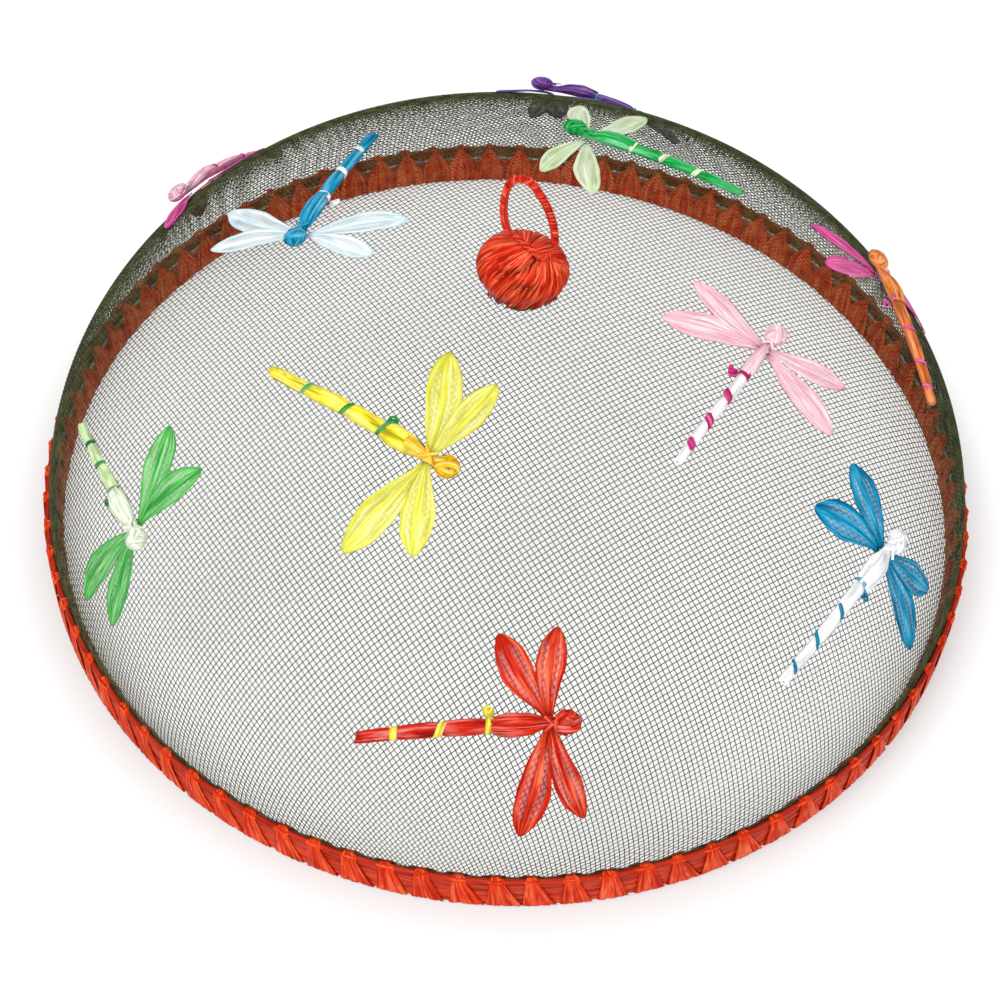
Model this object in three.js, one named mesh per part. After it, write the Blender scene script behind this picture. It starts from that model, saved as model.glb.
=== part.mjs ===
// A domed food cover: a woven wire screen pressed into a dome, held in a rim of flat
// hoops whipped with raffia, with a raffia knob and loop handle on top and ten raffia
// dragonflies tied on. Millimetres, +Z up. The origin lies on the table, under the
// middle of the dome, and the front of the cover faces -Y.
import * as THREE from 'three';

// Rim, from the outside in
const rimRadius = 177.5;
const bindingThickness = 0.8;
const ringClearance = 0.4;
const hoopThickness = 1;
const outerHoopTop = 16;
const innerHoopTop = 12;
const rimWireDiameter = 1.2;
const rimWireSides = 4;

// Raffia stitches that whip the rim: each is drawn in at its top and fans out to the foot.
// The shares run along one stitch: its place in the pitch, then its edge's height outside
// and inside, from the valley to the peak.
const stitchCount = 88;
const stitchPhase = THREE.MathUtils.degToRad(-89.4);
const outerPeakRise = 2;
const outerValleyHeight = 2.2;
const innerPeakRise = 3.6;
const innerValleyHeight = 8.5;
const stitchShares = [
  { pitch: 0, outside: 1, inside: 1 },
  { pitch: 0.32, outside: 1, inside: 0 },
  { pitch: 0.86, outside: 0, inside: 0.8 },
];

// Screen dome
const domeHeight = 115;
const wireDiameter = 0.36;
const shoulderShare = 0.81;
const apexHoleRadius = 2.1;
const ringSegments = 64;

// Openings of the screen, which stand for the gaps of its weave: a square grid laid over
// the dome at a slant, with a whole patch under the knob and a whole border over the rim
const openingsAcross = 12;
const barShare = 0.17;
const gridTurn = THREE.MathUtils.degToRad(36);
const gridBottom = 22;
const crownPatchRadius = 10;
const stepsPerSide = 2;
const leastOpeningShare = 0.06;
const touching = 1e-6;

// Clearance between pieces that touch on the real cover
const seatGap = 0.3;

// Knob, its ridge and its fastening under the screen
const knobWidth = 32;
const knobDepth = 25;
const knobRise = 13;
const knobWall = 1.6;
const knobYaw = THREE.MathUtils.degToRad(-8);
const knobCutAngle = THREE.MathUtils.degToRad(-62);
const knobSegments = 24;
const knobSteps = 8;
const ridgeDiameter = 2.6;
const ridgeBulge = 6.8;
const ridgeSteps = 10;
const anchorRadius = 7;
const anchorThickness = 3.4;
const stemRadius = 1.5;
const anchorSegments = 14;

// Loop handle, hinged at its two feet on the knob
const handleCord = 2.8;
const handleFootSpan = 14.8;
const handleShift = 1.8;
const handleSetback = 1.7;
const handleRise = 26;
const handleSteps = 18;
const cordSides = 6;

// Along the handle and the ridge from the left foot to the right: across as a share of half
// the span between the feet, then up or forward as a share of the rise or the bulge
const handleShares = [
  { across: -1, up: 0 },
  { across: -1.18, up: 0.24 },
  { across: -1.22, up: 0.46 },
  { across: -1.17, up: 0.7 },
  { across: -0.98, up: 0.9 },
  { across: -0.6, up: 1 },
  { across: -0.2, up: 0.97 },
  { across: 0.18, up: 0.83 },
  { across: 0.54, up: 0.63 },
  { across: 0.8, up: 0.41 },
  { across: 0.94, up: 0.2 },
  { across: 1, up: 0 },
];
const ridgeShares = [
  { across: -0.6, forward: 0.3 },
  { across: -0.36, forward: 0.56 },
  { across: 0, forward: 0.8 },
  { across: 0.4, forward: 1 },
  { across: 0.68, forward: 0.94 },
  { across: 0.84, forward: 0.62 },
];

// Dragonflies: one size, each with its own place, heading and spread of wings
const tailLength = 62;
const headLength = 12;
const bodyWidth = 8.4;
const bodyFlatShare = 0.62;
const foreWingLength = 34;
const hindWingLength = 40;
const foreWingWidth = 11;
const hindWingWidth = 12.5;
const wingThickness = 0.5;
const threadThickness = 0.6;
const threadTurns = 2.5;
const threadStepsPerTurn = 8;
const threadSides = 3;
const bodySides = 6;

// Along the body: place as a share of the tail (behind the wings) or of the head length
// (before them), then width as a share of the widest
const tailShares = [
  { along: 1, wide: 0.42 },
  { along: 0.97, wide: 0.52 },
  { along: 0.62, wide: 0.58 },
  { along: 0.36, wide: 0.66 },
  { along: 0.2, wide: 0.92 },
  { along: 0.07, wide: 0.96 },
];
const headShares = [
  { along: 0.22, wide: 0.52 },
  { along: 0.4, wide: 0.74 },
  { along: 0.64, wide: 1 },
  { along: 0.88, wide: 0.78 },
  { along: 1, wide: 0.34 },
];
const threadStartShare = 0.24;
const threadEndShare = 0.9;

// Along a wing from its root: place, width and lift, each as a share
const wingShares = [
  { along: 0.14, wide: 0.3, lift: 1 },
  { along: 0.36, wide: 0.74, lift: 1 },
  { along: 0.64, wide: 1, lift: 1 },
  { along: 0.88, wide: 0.76, lift: 0.4 },
  { along: 1, wide: 0.26, lift: 0 },
];
const wingWaistShare = 0.2;

// Azimuth is round the dome from +X. meridianShare is how far the wing roots lie from the
// crown, as a share of the way down to the table. Heading is turned from straight downhill,
// and the wings' angles are turned from the heading. All are in degrees, anticlockwise from above.
const dragonflies = [
  {
    name: 'yellow', azimuth: -111.2, meridianShare: 0.318, heading: 79,
    fore: [86, -63], hind: [116, -97],
    body: 0xe8b81e, wings: 0xe9e23a, tie: 0x2f9a3c,
  },
  {
    name: 'red', azimuth: -83.1, meridianShare: 0.657, heading: 90,
    fore: [83, -71], hind: [118, -104],
    body: 0xd8301c, wings: 0xc23a22, tie: 0xd8cf3a,
  },
  {
    name: 'blue', azimuth: 158.8, meridianShare: 0.362, heading: 93,
    fore: [81, -75], hind: [115, -107],
    body: 0x1b86c4, wings: 0xe8f0f2, tie: 0xe8f0f2,
  },
  {
    name: 'green', azimuth: 77, meridianShare: 0.408, heading: 82,
    fore: [79, -66], hind: [114, -104],
    body: 0x17a34a, wings: 0xdcebb4, tie: 0xcfe49a,
  },
  {
    name: 'pink', azimuth: -6.3, meridianShare: 0.37, heading: 66,
    fore: [76, -70], hind: [112, -107],
    body: 0xf0dde0, wings: 0xf2b8c4, tie: 0xb8336f,
  },
  {
    name: 'white', azimuth: -29.3, meridianShare: 0.655, heading: 85,
    fore: [62, -62], hind: [108, -97],
    body: 0xeaf3f4, wings: 0x1c8cc6, tie: 0x1c7fae,
  },
  {
    name: 'lime', azimuth: -146.8, meridianShare: 0.662, heading: 88,
    fore: [94, -65], hind: [131, -96],
    body: 0xcfe6a8, wings: 0x5cba50, tie: 0x1f7a3e,
  },
  {
    name: 'orange', azimuth: 22.4, meridianShare: 0.639, heading: 82.5,
    fore: [50, -60], hind: [97, -100],
    body: 0xf08a3c, wings: 0xe064a8, tie: 0xe86cb0,
  },
  {
    name: 'magenta', azimuth: 145.8, meridianShare: 0.727, heading: 105,
    fore: [22, -93], hind: [158, -133],
    body: 0xf0b4cc, wings: 0xc23a88, tie: 0xc23a88,
  },
  {
    name: 'purple', azimuth: 86.9, meridianShare: 0.701, heading: 112,
    fore: [22, -95], hind: [158, -118],
    body: 0x5a3a96, wings: 0x6a4aa6, tie: 0x3aa8b8,
  },
];

// Rim radii and levels, worked out from the sizes above
const meshThickness = 2 * wireDiameter;
const outerHoopOuter = rimRadius - bindingThickness - ringClearance;
const outerHoopInner = outerHoopOuter - hoopThickness;
const wallRadius = outerHoopInner - ringClearance - meshThickness / 2;
const innerHoopOuter = wallRadius - meshThickness / 2 - ringClearance;
const innerHoopInner = innerHoopOuter - hoopThickness;
const bindingInner = innerHoopInner - ringClearance - bindingThickness;
const rimSeat = bindingThickness + seatGap;
const rimWireLevel = innerHoopTop + seatGap + rimWireDiameter / 2;
const wallTop = innerHoopTop;

// The dome's outline: an upright wall, a shoulder arc and a crown arc, tangent to each other
const crownRise = domeHeight - wallTop;
const shoulderRadius = shoulderShare * crownRise;
const shoulderCentre = wallRadius - shoulderRadius;
const crownRadius = (shoulderCentre ** 2 + crownRise ** 2 - shoulderRadius ** 2)
  / (2 * (crownRise - shoulderRadius));
const crownCentreZ = domeHeight - crownRadius;
const crownAngle = Math.asin(shoulderCentre / (crownRadius - shoulderRadius));
const crownArc = crownRadius * crownAngle;
const domeArc = crownArc + shoulderRadius * (Math.PI / 2 - crownAngle);
const meridian = domeArc + wallTop;

// Radius and height on the dome at an arc length from the crown, lifted off its middle surface
function outline(arc, lift) {
  if (arc <= crownArc) {
    const turn = arc / crownRadius;
    const reach = crownRadius + lift;
    return { r: reach * Math.sin(turn), z: crownCentreZ + reach * Math.cos(turn) };
  }
  if (arc <= domeArc) {
    const turn = crownAngle + (arc - crownArc) / shoulderRadius;
    const reach = shoulderRadius + lift;
    return { r: shoulderCentre + reach * Math.sin(turn), z: wallTop + reach * Math.cos(turn) };
  }
  return { r: wallRadius + lift, z: wallTop - (arc - domeArc) };
}

function onDome(arc, azimuth, lift) {
  const { r, z } = outline(arc, lift);
  return new THREE.Vector3(r * Math.cos(azimuth), r * Math.sin(azimuth), z);
}

// Six times the signed volume inside a closed mesh, positive when its faces point out
function signedVolume(geometry) {
  const corner = [new THREE.Vector3(), new THREE.Vector3(), new THREE.Vector3()];
  const { index, attributes: { position } } = geometry;
  let volume = 0;
  for (let i = 0; i < index.count; i += 3) {
    corner.forEach((c, k) => c.fromBufferAttribute(position, index.getX(i + k)));
    volume += corner[0].dot(corner[1].clone().cross(corner[2]));
  }
  return volume;
}

function facingOut(geometry) {
  if (signedVolume(geometry) < 0) {
    const { index } = geometry;
    for (let i = 0; i < index.count; i += 3) {
      const second = index.getX(i + 1);
      index.setX(i + 1, index.getX(i + 2));
      index.setX(i + 2, second);
    }
  }
  geometry.computeVertexNormals();
  return geometry;
}

// Skin over a row of rings with equally many points. A closed row joins its last ring to its
// first, and an open one is capped at both ends.
function loft(rings, closed = false) {
  const sides = rings[0].length;
  const points = rings.flat();
  const triangles = [];
  const spans = closed ? rings.length : rings.length - 1;
  for (let i = 0; i < spans; i += 1) {
    const near = i * sides;
    const far = ((i + 1) % rings.length) * sides;
    for (let k = 0; k < sides; k += 1) {
      const next = (k + 1) % sides;
      triangles.push(near + k, far + k, far + next, near + k, far + next, near + next);
    }
  }
  if (!closed) {
    const ends = [{ ring: rings[0], first: 0 }, { ring: rings.at(-1), first: spans * sides }];
    ends.forEach(({ ring, first }, end) => {
      const middle = ring.reduce((sum, p) => sum.add(p), new THREE.Vector3()).divideScalar(sides);
      const hub = points.push(middle) - 1;
      for (let k = 0; k < sides; k += 1) {
        const next = (k + 1) % sides;
        triangles.push(hub, first + (end ? next : k), first + (end ? k : next));
      }
    });
  }
  const geometry = new THREE.BufferGeometry().setFromPoints(points);
  geometry.setIndex(triangles);
  return facingOut(geometry);
}

// A body of revolution about +Z from a profile of radius and height
function turned(profile, segments) {
  const geometry = new THREE.LatheGeometry(profile.map(([r, z]) => new THREE.Vector2(r, z)), segments);
  return facingOut(geometry.rotateX(Math.PI / 2));
}

const cover = new THREE.Group();

function add(parent, name, geometry, color, finish = { roughness: 0.75, metalness: 0 }) {
  const mesh = new THREE.Mesh(geometry, new THREE.MeshStandardMaterial({ color, ...finish }));
  mesh.name = name;
  parent.add(mesh);
}

const raffiaRed = 0xe2401f;
const screenOlive = 0x4a4d3c;
const steel = 0xb9bab5;

// A square of the flat grid round a centre, with each side in equal steps
function gridSquare(centre, half) {
  const corners = [[-1, -1], [1, -1], [1, 1], [-1, 1]].map(([x, y]) => (
    new THREE.Vector2(centre.x + x * half, centre.y + y * half)));
  return corners.flatMap((corner, k) => Array.from({ length: stepsPerSide }, (unused, step) => (
    corner.clone().lerp(corners[(k + 1) % corners.length], step / stepsPerSide))));
}

// Where the line between two points crosses a circle round the origin
function onCircle(a, b, radius) {
  const [near, far] = a.length() < b.length() ? [a, b] : [b, a];
  const along = far.clone().sub(near);
  const square = along.lengthSq();
  const half = near.dot(along) / square;
  const share = -half + Math.sqrt(half ** 2 - (near.lengthSq() - radius ** 2) / square);
  return near.clone().addScaledVector(along, share);
}

// A polygon kept inside a circle round the origin, which it follows in short steps
function insideCircle(polygon, radius) {
  const kept = [];
  let left;
  polygon.forEach((point, k) => {
    const next = polygon[(k + 1) % polygon.length];
    const [isIn, nextIsIn] = [point.length() < radius, next.length() < radius];
    if (isIn) kept.push(point);
    if (isIn !== nextIsIn) {
      const crossing = onCircle(point, next, radius);
      kept.push(crossing);
      if (isIn) left = { crossing, at: kept.length };
    }
  });
  if (!left) return kept;
  const back = kept[left.at % kept.length];
  const turn = (back.angle() - left.crossing.angle() + 2 * Math.PI) % (2 * Math.PI);
  const steps = Math.ceil(turn / ((2 * Math.PI) / ringSegments));
  const arc = Array.from({ length: steps - 1 }, (unused, k) => (
    left.crossing.clone().rotateAround(new THREE.Vector2(), (turn * (k + 1)) / steps)));
  kept.splice(left.at, 0, ...arc);
  return kept;
}

// A polygon whose points within a circle round the origin move out to it. A point at the
// origin itself makes way for three on the circle.
function outsideCircle(polygon, radius) {
  return polygon.flatMap((point, k) => {
    if (point.length() > radius) return [point];
    if (point.length() > touching) return [point.clone().setLength(radius)];
    const before = polygon.at(k - 1).clone().setLength(radius);
    const after = polygon[(k + 1) % polygon.length].clone().setLength(radius);
    return [before, before.clone().add(after).setLength(radius), after];
  });
}

// Triangles between an outer and an inner loop of points that both go once round a middle
function between(outer, inner, middle) {
  const sorted = (loop) => loop
    .map((point) => ({ point, turn: point.clone().sub(middle).angle() }))
    .sort((a, b) => a.turn - b.turn);
  const [out, into] = [sorted(outer), sorted(inner)];
  const at = (loop, k) => ({
    point: loop[k % loop.length].point,
    turn: loop[k % loop.length].turn + (k < loop.length ? 0 : 2 * Math.PI),
  });
  const triangles = [];
  for (let i = 0, j = 0; i < out.length || j < into.length;) {
    const outNext = at(out, i + 1);
    const inNext = at(into, j + 1);
    const stepOut = j === into.length || (i < out.length && outNext.turn < inNext.turn);
    triangles.push([at(out, i).point, stepOut ? outNext.point : inNext.point, at(into, j).point]);
    if (stepOut) i += 1;
    else j += 1;
  }
  return triangles;
}

// The screen in triangles on its flat map, whose polar axes are arc length and azimuth: each
// square of the grid with its opening, then the plain border down to the foot
function screenMap() {
  const bottomTurn = Math.acos((gridBottom - wallTop) / shoulderRadius);
  const bottomArc = crownArc + shoulderRadius * (bottomTurn - crownAngle);
  const pitch = (2 * bottomArc) / openingsAcross;
  const bar = barShare * pitch;
  const borderArc = bottomArc + bar;
  const squares = openingsAcross + 2;
  const border = [];
  const triangles = [];
  for (let i = 0; i < squares; i += 1) {
    for (let j = 0; j < squares; j += 1) {
      const centre = new THREE.Vector2(i, j).addScalar((1 - squares) / 2).multiplyScalar(pitch);
      const inside = insideCircle(gridSquare(centre, pitch / 2), borderArc);
      const square = outsideCircle(inside, apexHoleRadius);
      const opened = insideCircle(gridSquare(centre, (pitch - bar) / 2), bottomArc);
      const opening = outsideCircle(opened, crownPatchRadius);
      const isOpen = THREE.ShapeUtils.area(opening) > leastOpeningShare * pitch ** 2;
      if (square.length) {
        const loop = isOpen ? opening : square;
        const middle = loop.reduce((sum, point) => sum.add(point), new THREE.Vector2())
          .divideScalar(loop.length);
        triangles.push(...between(square, isOpen ? opening : [middle], middle));
        border.push(...square.filter((point) => Math.abs(point.length() - borderArc) < touching));
      }
    }
  }
  const ring = (arc) => Array.from({ length: ringSegments }, (unused, k) => (
    new THREE.Vector2(arc, 0).rotateAround(new THREE.Vector2(), (2 * Math.PI * k) / ringSegments)));
  const rims = [border, ring(domeArc), ring(meridian - rimSeat)];
  return [
    ...triangles,
    ...between(rims[1], rims[0], new THREE.Vector2()),
    ...between(rims[2], rims[1], new THREE.Vector2()),
  ];
}

// Screen dome, as a skin as thick as two crossed wires, with its foot inside the rim
function screenSkin() {
  const places = new Map();
  const placeOf = (point) => {
    const key = `${point.x.toFixed(4)},${point.y.toFixed(4)}`;
    if (!places.has(key)) places.set(key, { point, index: places.size });
    return places.get(key).index;
  };
  const flat = screenMap()
    .map((corners) => (THREE.ShapeUtils.area(corners) > 0 ? corners : corners.reverse()))
    .map((corners) => corners.map(placeOf))
    .filter((corners) => new Set(corners).size === corners.length);
  const count = places.size;
  const edges = new Set(flat.flatMap(([a, b, c]) => [`${a},${b}`, `${b},${c}`, `${c},${a}`]));
  const triangles = flat.flatMap(([a, b, c]) => [a, b, c, c + count, b + count, a + count]);
  edges.forEach((edge) => {
    const [a, b] = edge.split(',').map(Number);
    if (!edges.has(`${b},${a}`)) triangles.push(b, a, a + count, b, a + count, b + count);
  });
  const side = (lift) => [...places.values()].map(({ point }) => (
    onDome(point.length(), point.angle() + gridTurn, lift)));
  const geometry = new THREE.BufferGeometry()
    .setFromPoints([...side(meshThickness / 2), ...side(-meshThickness / 2)]);
  geometry.setIndex(triangles);
  return facingOut(geometry);
}

function hoop(inner, outer, top) {
  const profile = [[inner, rimSeat], [outer, rimSeat], [outer, top], [inner, top], [inner, rimSeat]];
  return turned(profile, ringSegments);
}

// Stiffening wire, lying on the inner hoop's top edge inside the screen
function rimWire() {
  const ringRadius = (innerHoopInner + innerHoopOuter) / 2;
  const wire = new THREE.TorusGeometry(ringRadius, rimWireDiameter / 2, rimWireSides, ringSegments);
  return facingOut(wire.translate(0, 0, rimWireLevel));
}

// Whipping round the rim: a channel whose two flanges rise and fall with the stitches,
// falling away to opposite sides of each peak outside and inside
function rimBinding() {
  const outerPeak = outerHoopTop + outerPeakRise;
  const innerPeak = rimWireLevel + rimWireDiameter / 2 + innerPeakRise;
  const outerFace = rimRadius - bindingThickness;
  const innerFace = bindingInner + bindingThickness;
  const rings = [];
  for (let stitch = 0; stitch < stitchCount; stitch += 1) {
    for (const { pitch, outside, inside } of stitchShares) {
      const azimuth = stitchPhase + ((stitch + pitch) / stitchCount) * 2 * Math.PI;
      const outerTop = THREE.MathUtils.lerp(outerValleyHeight, outerPeak, outside);
      const innerTop = THREE.MathUtils.lerp(innerValleyHeight, innerPeak, inside);
      const section = [
        [rimRadius, 0], [rimRadius, outerTop], [outerFace, outerTop], [outerFace, bindingThickness],
        [innerFace, bindingThickness], [innerFace, innerTop], [bindingInner, innerTop], [bindingInner, 0],
      ];
      rings.push(section.map(([r, z]) => (
        new THREE.Vector3(r * Math.cos(azimuth), r * Math.sin(azimuth), z))));
    }
  }
  return loft(rings, true);
}

// Knob: an oval ball of raffia drawn in to an open neck, round a wadding core
const knobBase = domeHeight + meshThickness / 2 + seatGap;
const knobCentreZ = knobBase - knobRise * Math.sin(knobCutAngle);
const knobFlat = knobDepth / knobWidth;

function ovalProfile(inset, cutAngle) {
  const across = knobWidth / 2 - inset;
  const up = knobRise - inset;
  const profile = [];
  for (let i = 0; i <= knobSteps; i += 1) {
    const angle = THREE.MathUtils.lerp(Math.PI / 2, cutAngle, i / knobSteps);
    profile.push([i ? across * Math.cos(angle) : 0, knobCentreZ + up * Math.sin(angle)]);
  }
  return profile;
}

function knobWrap() {
  const inside = ovalProfile(knobWall, knobCutAngle).reverse();
  const shell = turned([...ovalProfile(0, knobCutAngle), ...inside], knobSegments);
  return shell.scale(1, knobFlat, 1);
}

function coreProfile() {
  return ovalProfile(knobWall + ringClearance, knobCutAngle);
}

function knobCore() {
  const profile = coreProfile();
  const coreBottom = profile.at(-1)[1];
  return turned([...profile, [0, coreBottom]], knobSegments / 2).scale(1, knobFlat, 1);
}

// A point over the knob at a place in plan, lifted off its surface along the normal
function overKnob(x, y, lift) {
  const half = new THREE.Vector3(knobWidth / 2, knobDepth / 2, knobRise);
  const height = knobRise * Math.sqrt(1 - (x / half.x) ** 2 - (y / half.y) ** 2);
  const normal = new THREE.Vector3(x / half.x ** 2, y / half.y ** 2, height / half.z ** 2).normalize();
  return new THREE.Vector3(x, y, knobCentreZ + height).addScaledVector(normal, lift);
}

function ringRound(centre, across, up, radius) {
  return Array.from({ length: cordSides }, (unused, k) => {
    const turn = (2 * Math.PI * k) / cordSides;
    return centre.clone()
      .addScaledVector(across, radius * Math.cos(turn))
      .addScaledVector(up, radius * Math.sin(turn));
  });
}

// A round cord along a row of points, with a fingertip beyond each end. The path is nowhere
// parallel to the direction that facing gives for a point on it.
function cord(points, diameter, steps, facing) {
  const path = new THREE.CatmullRomCurve3(points);
  const radius = diameter / 2;
  const tipShares = [{ beyond: -0.95, wide: 0.3 }, { beyond: -0.5, wide: 0.85 }];
  const firstTip = tipShares.map(({ beyond, wide }) => ({ at: 0, beyond, wide }));
  const middle = Array.from({ length: steps + 1 }, (unused, i) => (
    { at: i / steps, beyond: 0, wide: 1 }));
  const lastTip = tipShares.map(({ beyond, wide }) => ({ at: 1, beyond: -beyond, wide })).reverse();
  return loft([...firstTip, ...middle, ...lastTip].map(({ at, beyond, wide }) => {
    const along = path.getTangentAt(at);
    const centre = path.getPointAt(at).addScaledVector(along, beyond * radius);
    const across = new THREE.Vector3().crossVectors(along, facing(centre)).normalize();
    const up = new THREE.Vector3().crossVectors(across, along);
    return ringRound(centre, across, up, wide * radius);
  }));
}

// Feet of the handle, standing on the knob on the hinge axis
const footLift = handleCord / 2 + seatGap;
const leftFoot = overKnob(handleShift - handleFootSpan / 2, handleSetback, footLift);
const rightFoot = overKnob(handleShift + handleFootSpan / 2, handleSetback, footLift);

function betweenFeet(across) {
  return leftFoot.clone().lerp(rightFoot, (across + 1) / 2);
}

function loopHandle() {
  const points = handleShares.map(({ across, up }) => {
    const point = betweenFeet(across);
    return point.setZ(point.z + up * handleRise);
  });
  return cord(points, handleCord, handleSteps, () => new THREE.Vector3(0, 1, 0));
}

// Ridge: the cord that closes the handle's ring over the front of the knob
function knobRidge() {
  const lift = ridgeDiameter / 2 + seatGap;
  const points = ridgeShares.map(({ across, forward }) => {
    const { x, y } = betweenFeet(across);
    return overKnob(x, y - forward * ridgeBulge, lift);
  });
  const centre = new THREE.Vector3(0, 0, knobCentreZ);
  return cord(points, ridgeDiameter, ridgeSteps, (point) => point.clone().sub(centre));
}

// Button and stem that hold the knob through the screen
function knobAnchor() {
  const top = outline(anchorRadius, -meshThickness / 2).z - seatGap;
  const bottom = top - anchorThickness;
  const stemTop = coreProfile().at(-1)[1] - seatGap;
  const rimInsetShare = 0.8;
  return turned([
    [0, stemTop], [stemRadius, stemTop], [stemRadius, top], [rimInsetShare * anchorRadius, top],
    [anchorRadius, (top + bottom) / 2], [rimInsetShare * anchorRadius, bottom], [0, bottom],
  ], anchorSegments);
}

// Dragonfly frame: x runs forward from the wing roots and y to the left, laid on the dome
function placer({ azimuth, meridianShare, heading }) {
  const arc = meridianShare * meridian;
  const turn = THREE.MathUtils.degToRad(heading);
  const spread = arc / outline(arc, 0).r;
  return (x, y, lift) => {
    const down = arc + x * Math.cos(turn) - y * Math.sin(turn);
    const round = (x * Math.sin(turn) + y * Math.cos(turn)) * spread;
    const place = THREE.MathUtils.degToRad(azimuth) + Math.atan2(round, down);
    return onDome(Math.hypot(down, round), place, meshThickness / 2 + lift);
  };
}

// Levels above the screen: hind wings lowest, fore wings over them, the body on top
const hindLift = seatGap;
const foreLift = hindLift + wingThickness + seatGap;
const bellyLift = foreLift + wingThickness + seatGap;

// Half width, half height and middle level of the body at a place along it
function bodyAt(wide) {
  const halfWidth = (wide * bodyWidth) / 2;
  const halfHeight = halfWidth * bodyFlatShare;
  return { halfWidth, halfHeight, level: bellyLift + halfHeight };
}

function dragonflyBody(place) {
  const stations = [
    ...tailShares.map(({ along, wide }) => ({ x: -along * tailLength, wide })),
    ...headShares.map(({ along, wide }) => ({ x: along * headLength, wide })),
  ];
  return loft(stations.map(({ x, wide }) => {
    const { halfWidth, halfHeight, level } = bodyAt(wide);
    return Array.from({ length: bodySides }, (unused, k) => {
      const turn = (2 * Math.PI * k) / bodySides;
      return place(x, halfWidth * Math.cos(turn), level + halfHeight * Math.sin(turn));
    });
  }));
}

// A pair of wings: one ribbon from the left tip through a narrow waist to the right tip
function wingPair(place, [leftAngle, rightAngle], length, width, rootLift, tipLift) {
  const wing = (degrees, way) => {
    const angle = THREE.MathUtils.degToRad(degrees);
    const ahead = new THREE.Vector2(Math.cos(angle), Math.sin(angle));
    return wingShares.map(({ along, wide, lift }) => ({
      centre: ahead.clone().multiplyScalar(along * length),
      across: new THREE.Vector2(-ahead.y, ahead.x).multiplyScalar((way * wide * width) / 2),
      lift: THREE.MathUtils.lerp(tipLift, rootLift, lift),
    }));
  };
  const left = wing(leftAngle, -1).reverse();
  const right = wing(rightAngle, 1);
  const waist = {
    centre: new THREE.Vector2(),
    across: new THREE.Vector2((wingWaistShare * width) / 2, 0),
    lift: rootLift,
  };
  return loft([...left, waist, ...right].map(({ centre, across, lift }) => {
    const middle = lift + wingThickness / 2;
    return [
      place(centre.x + across.x, centre.y + across.y, middle),
      place(centre.x, centre.y, lift + wingThickness),
      place(centre.x - across.x, centre.y - across.y, middle),
      place(centre.x, centre.y, lift),
    ];
  }));
}

// Width share of the tail at a place along it
function tailWidthShare(along) {
  const after = tailShares.findIndex((share) => share.along <= along);
  const [far, near] = [tailShares[after - 1], tailShares[after]];
  return THREE.MathUtils.mapLinear(along, far.along, near.along, far.wide, near.wide);
}

// Least gap from a wound thread to its own other turns, measured along its middle
function gapToItself(points) {
  const apart = points.flatMap((point, i) => (
    points.slice(i + threadStepsPerTurn / 2).map((other) => point.distanceTo(other))));
  return Math.min(...apart) - threadThickness;
}
const threadGaps = [];

// Tie: a thread wound round the tail, which holds it to the screen
function tailThread(place) {
  const steps = threadTurns * threadStepsPerTurn;
  const round = 1 / Math.cos(Math.PI / threadStepsPerTurn);
  const half = threadThickness / 2;
  const centres = [];
  for (let i = 0; i <= steps; i += 1) {
    const along = THREE.MathUtils.lerp(threadStartShare, threadEndShare, i / steps);
    const { halfWidth, halfHeight, level } = bodyAt(tailWidthShare(along));
    const turn = (2 * Math.PI * (i + 1 / 2)) / threadStepsPerTurn;
    centres.push({
      x: -along * tailLength,
      y: (halfWidth + seatGap + half) * round * Math.cos(turn),
      up: level + (halfHeight + seatGap + half) * round * Math.sin(turn),
      turn,
    });
  }
  threadGaps.push(gapToItself(centres.map(({ x, y, up }) => place(x, y, up))));
  return loft(centres.map(({ x, y, up, turn }) => (
    Array.from({ length: threadSides }, (unused, k) => {
      const spin = (2 * Math.PI * k) / threadSides;
      const outward = half * Math.cos(spin);
      return place(
        x + half * Math.sin(spin),
        y + outward * Math.cos(turn),
        up + outward * Math.sin(turn),
      );
    })
  )));
}

add(cover, 'screen_dome', screenSkin(), screenOlive, { roughness: 0.5, metalness: 0.6 });
add(cover, 'outer_hoop', hoop(outerHoopInner, outerHoopOuter, outerHoopTop), raffiaRed);
add(cover, 'inner_hoop', hoop(innerHoopInner, innerHoopOuter, innerHoopTop), raffiaRed);
add(cover, 'rim_wire', rimWire(), steel, { roughness: 0.35, metalness: 1 });
add(cover, 'rim_binding', rimBinding(), raffiaRed);

const knob = new THREE.Group();
knob.rotation.z = knobYaw;
cover.add(knob);
add(knob, 'knob_core', knobCore(), raffiaRed);
add(knob, 'knob_wrap', knobWrap(), raffiaRed);
add(knob, 'knob_ridge', knobRidge(), raffiaRed);
add(knob, 'knob_anchor', knobAnchor(), raffiaRed);
add(knob, 'loop_handle', loopHandle(), raffiaRed);

for (const dragonfly of dragonflies) {
  const { name, fore, hind, body, wings, tie } = dragonfly;
  const place = placer(dragonfly);
  const hindwings = wingPair(place, hind, hindWingLength, hindWingWidth, hindLift, hindLift);
  const forewings = wingPair(place, fore, foreWingLength, foreWingWidth, foreLift, hindLift);
  add(cover, `${name}_dragonfly_hindwings`, hindwings, wings);
  add(cover, `${name}_dragonfly_forewings`, forewings, wings);
  add(cover, `${name}_dragonfly_body`, dragonflyBody(place), body);
  add(cover, `${name}_dragonfly_tie`, tailThread(place), tie);
}

console.log(`least gap of a tie to itself: ${Math.min(...threadGaps).toFixed(2)} mm`);

export default cover;
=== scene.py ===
# Looks for the domed food cover: a woven wire screen, a raffia-whipped rim, a raffia knob
# with a loop, and ten raffia dragonflies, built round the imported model. Metres, +Z up.
import math

import bpy
import numpy as np
from mathutils import Matrix, Vector


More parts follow.
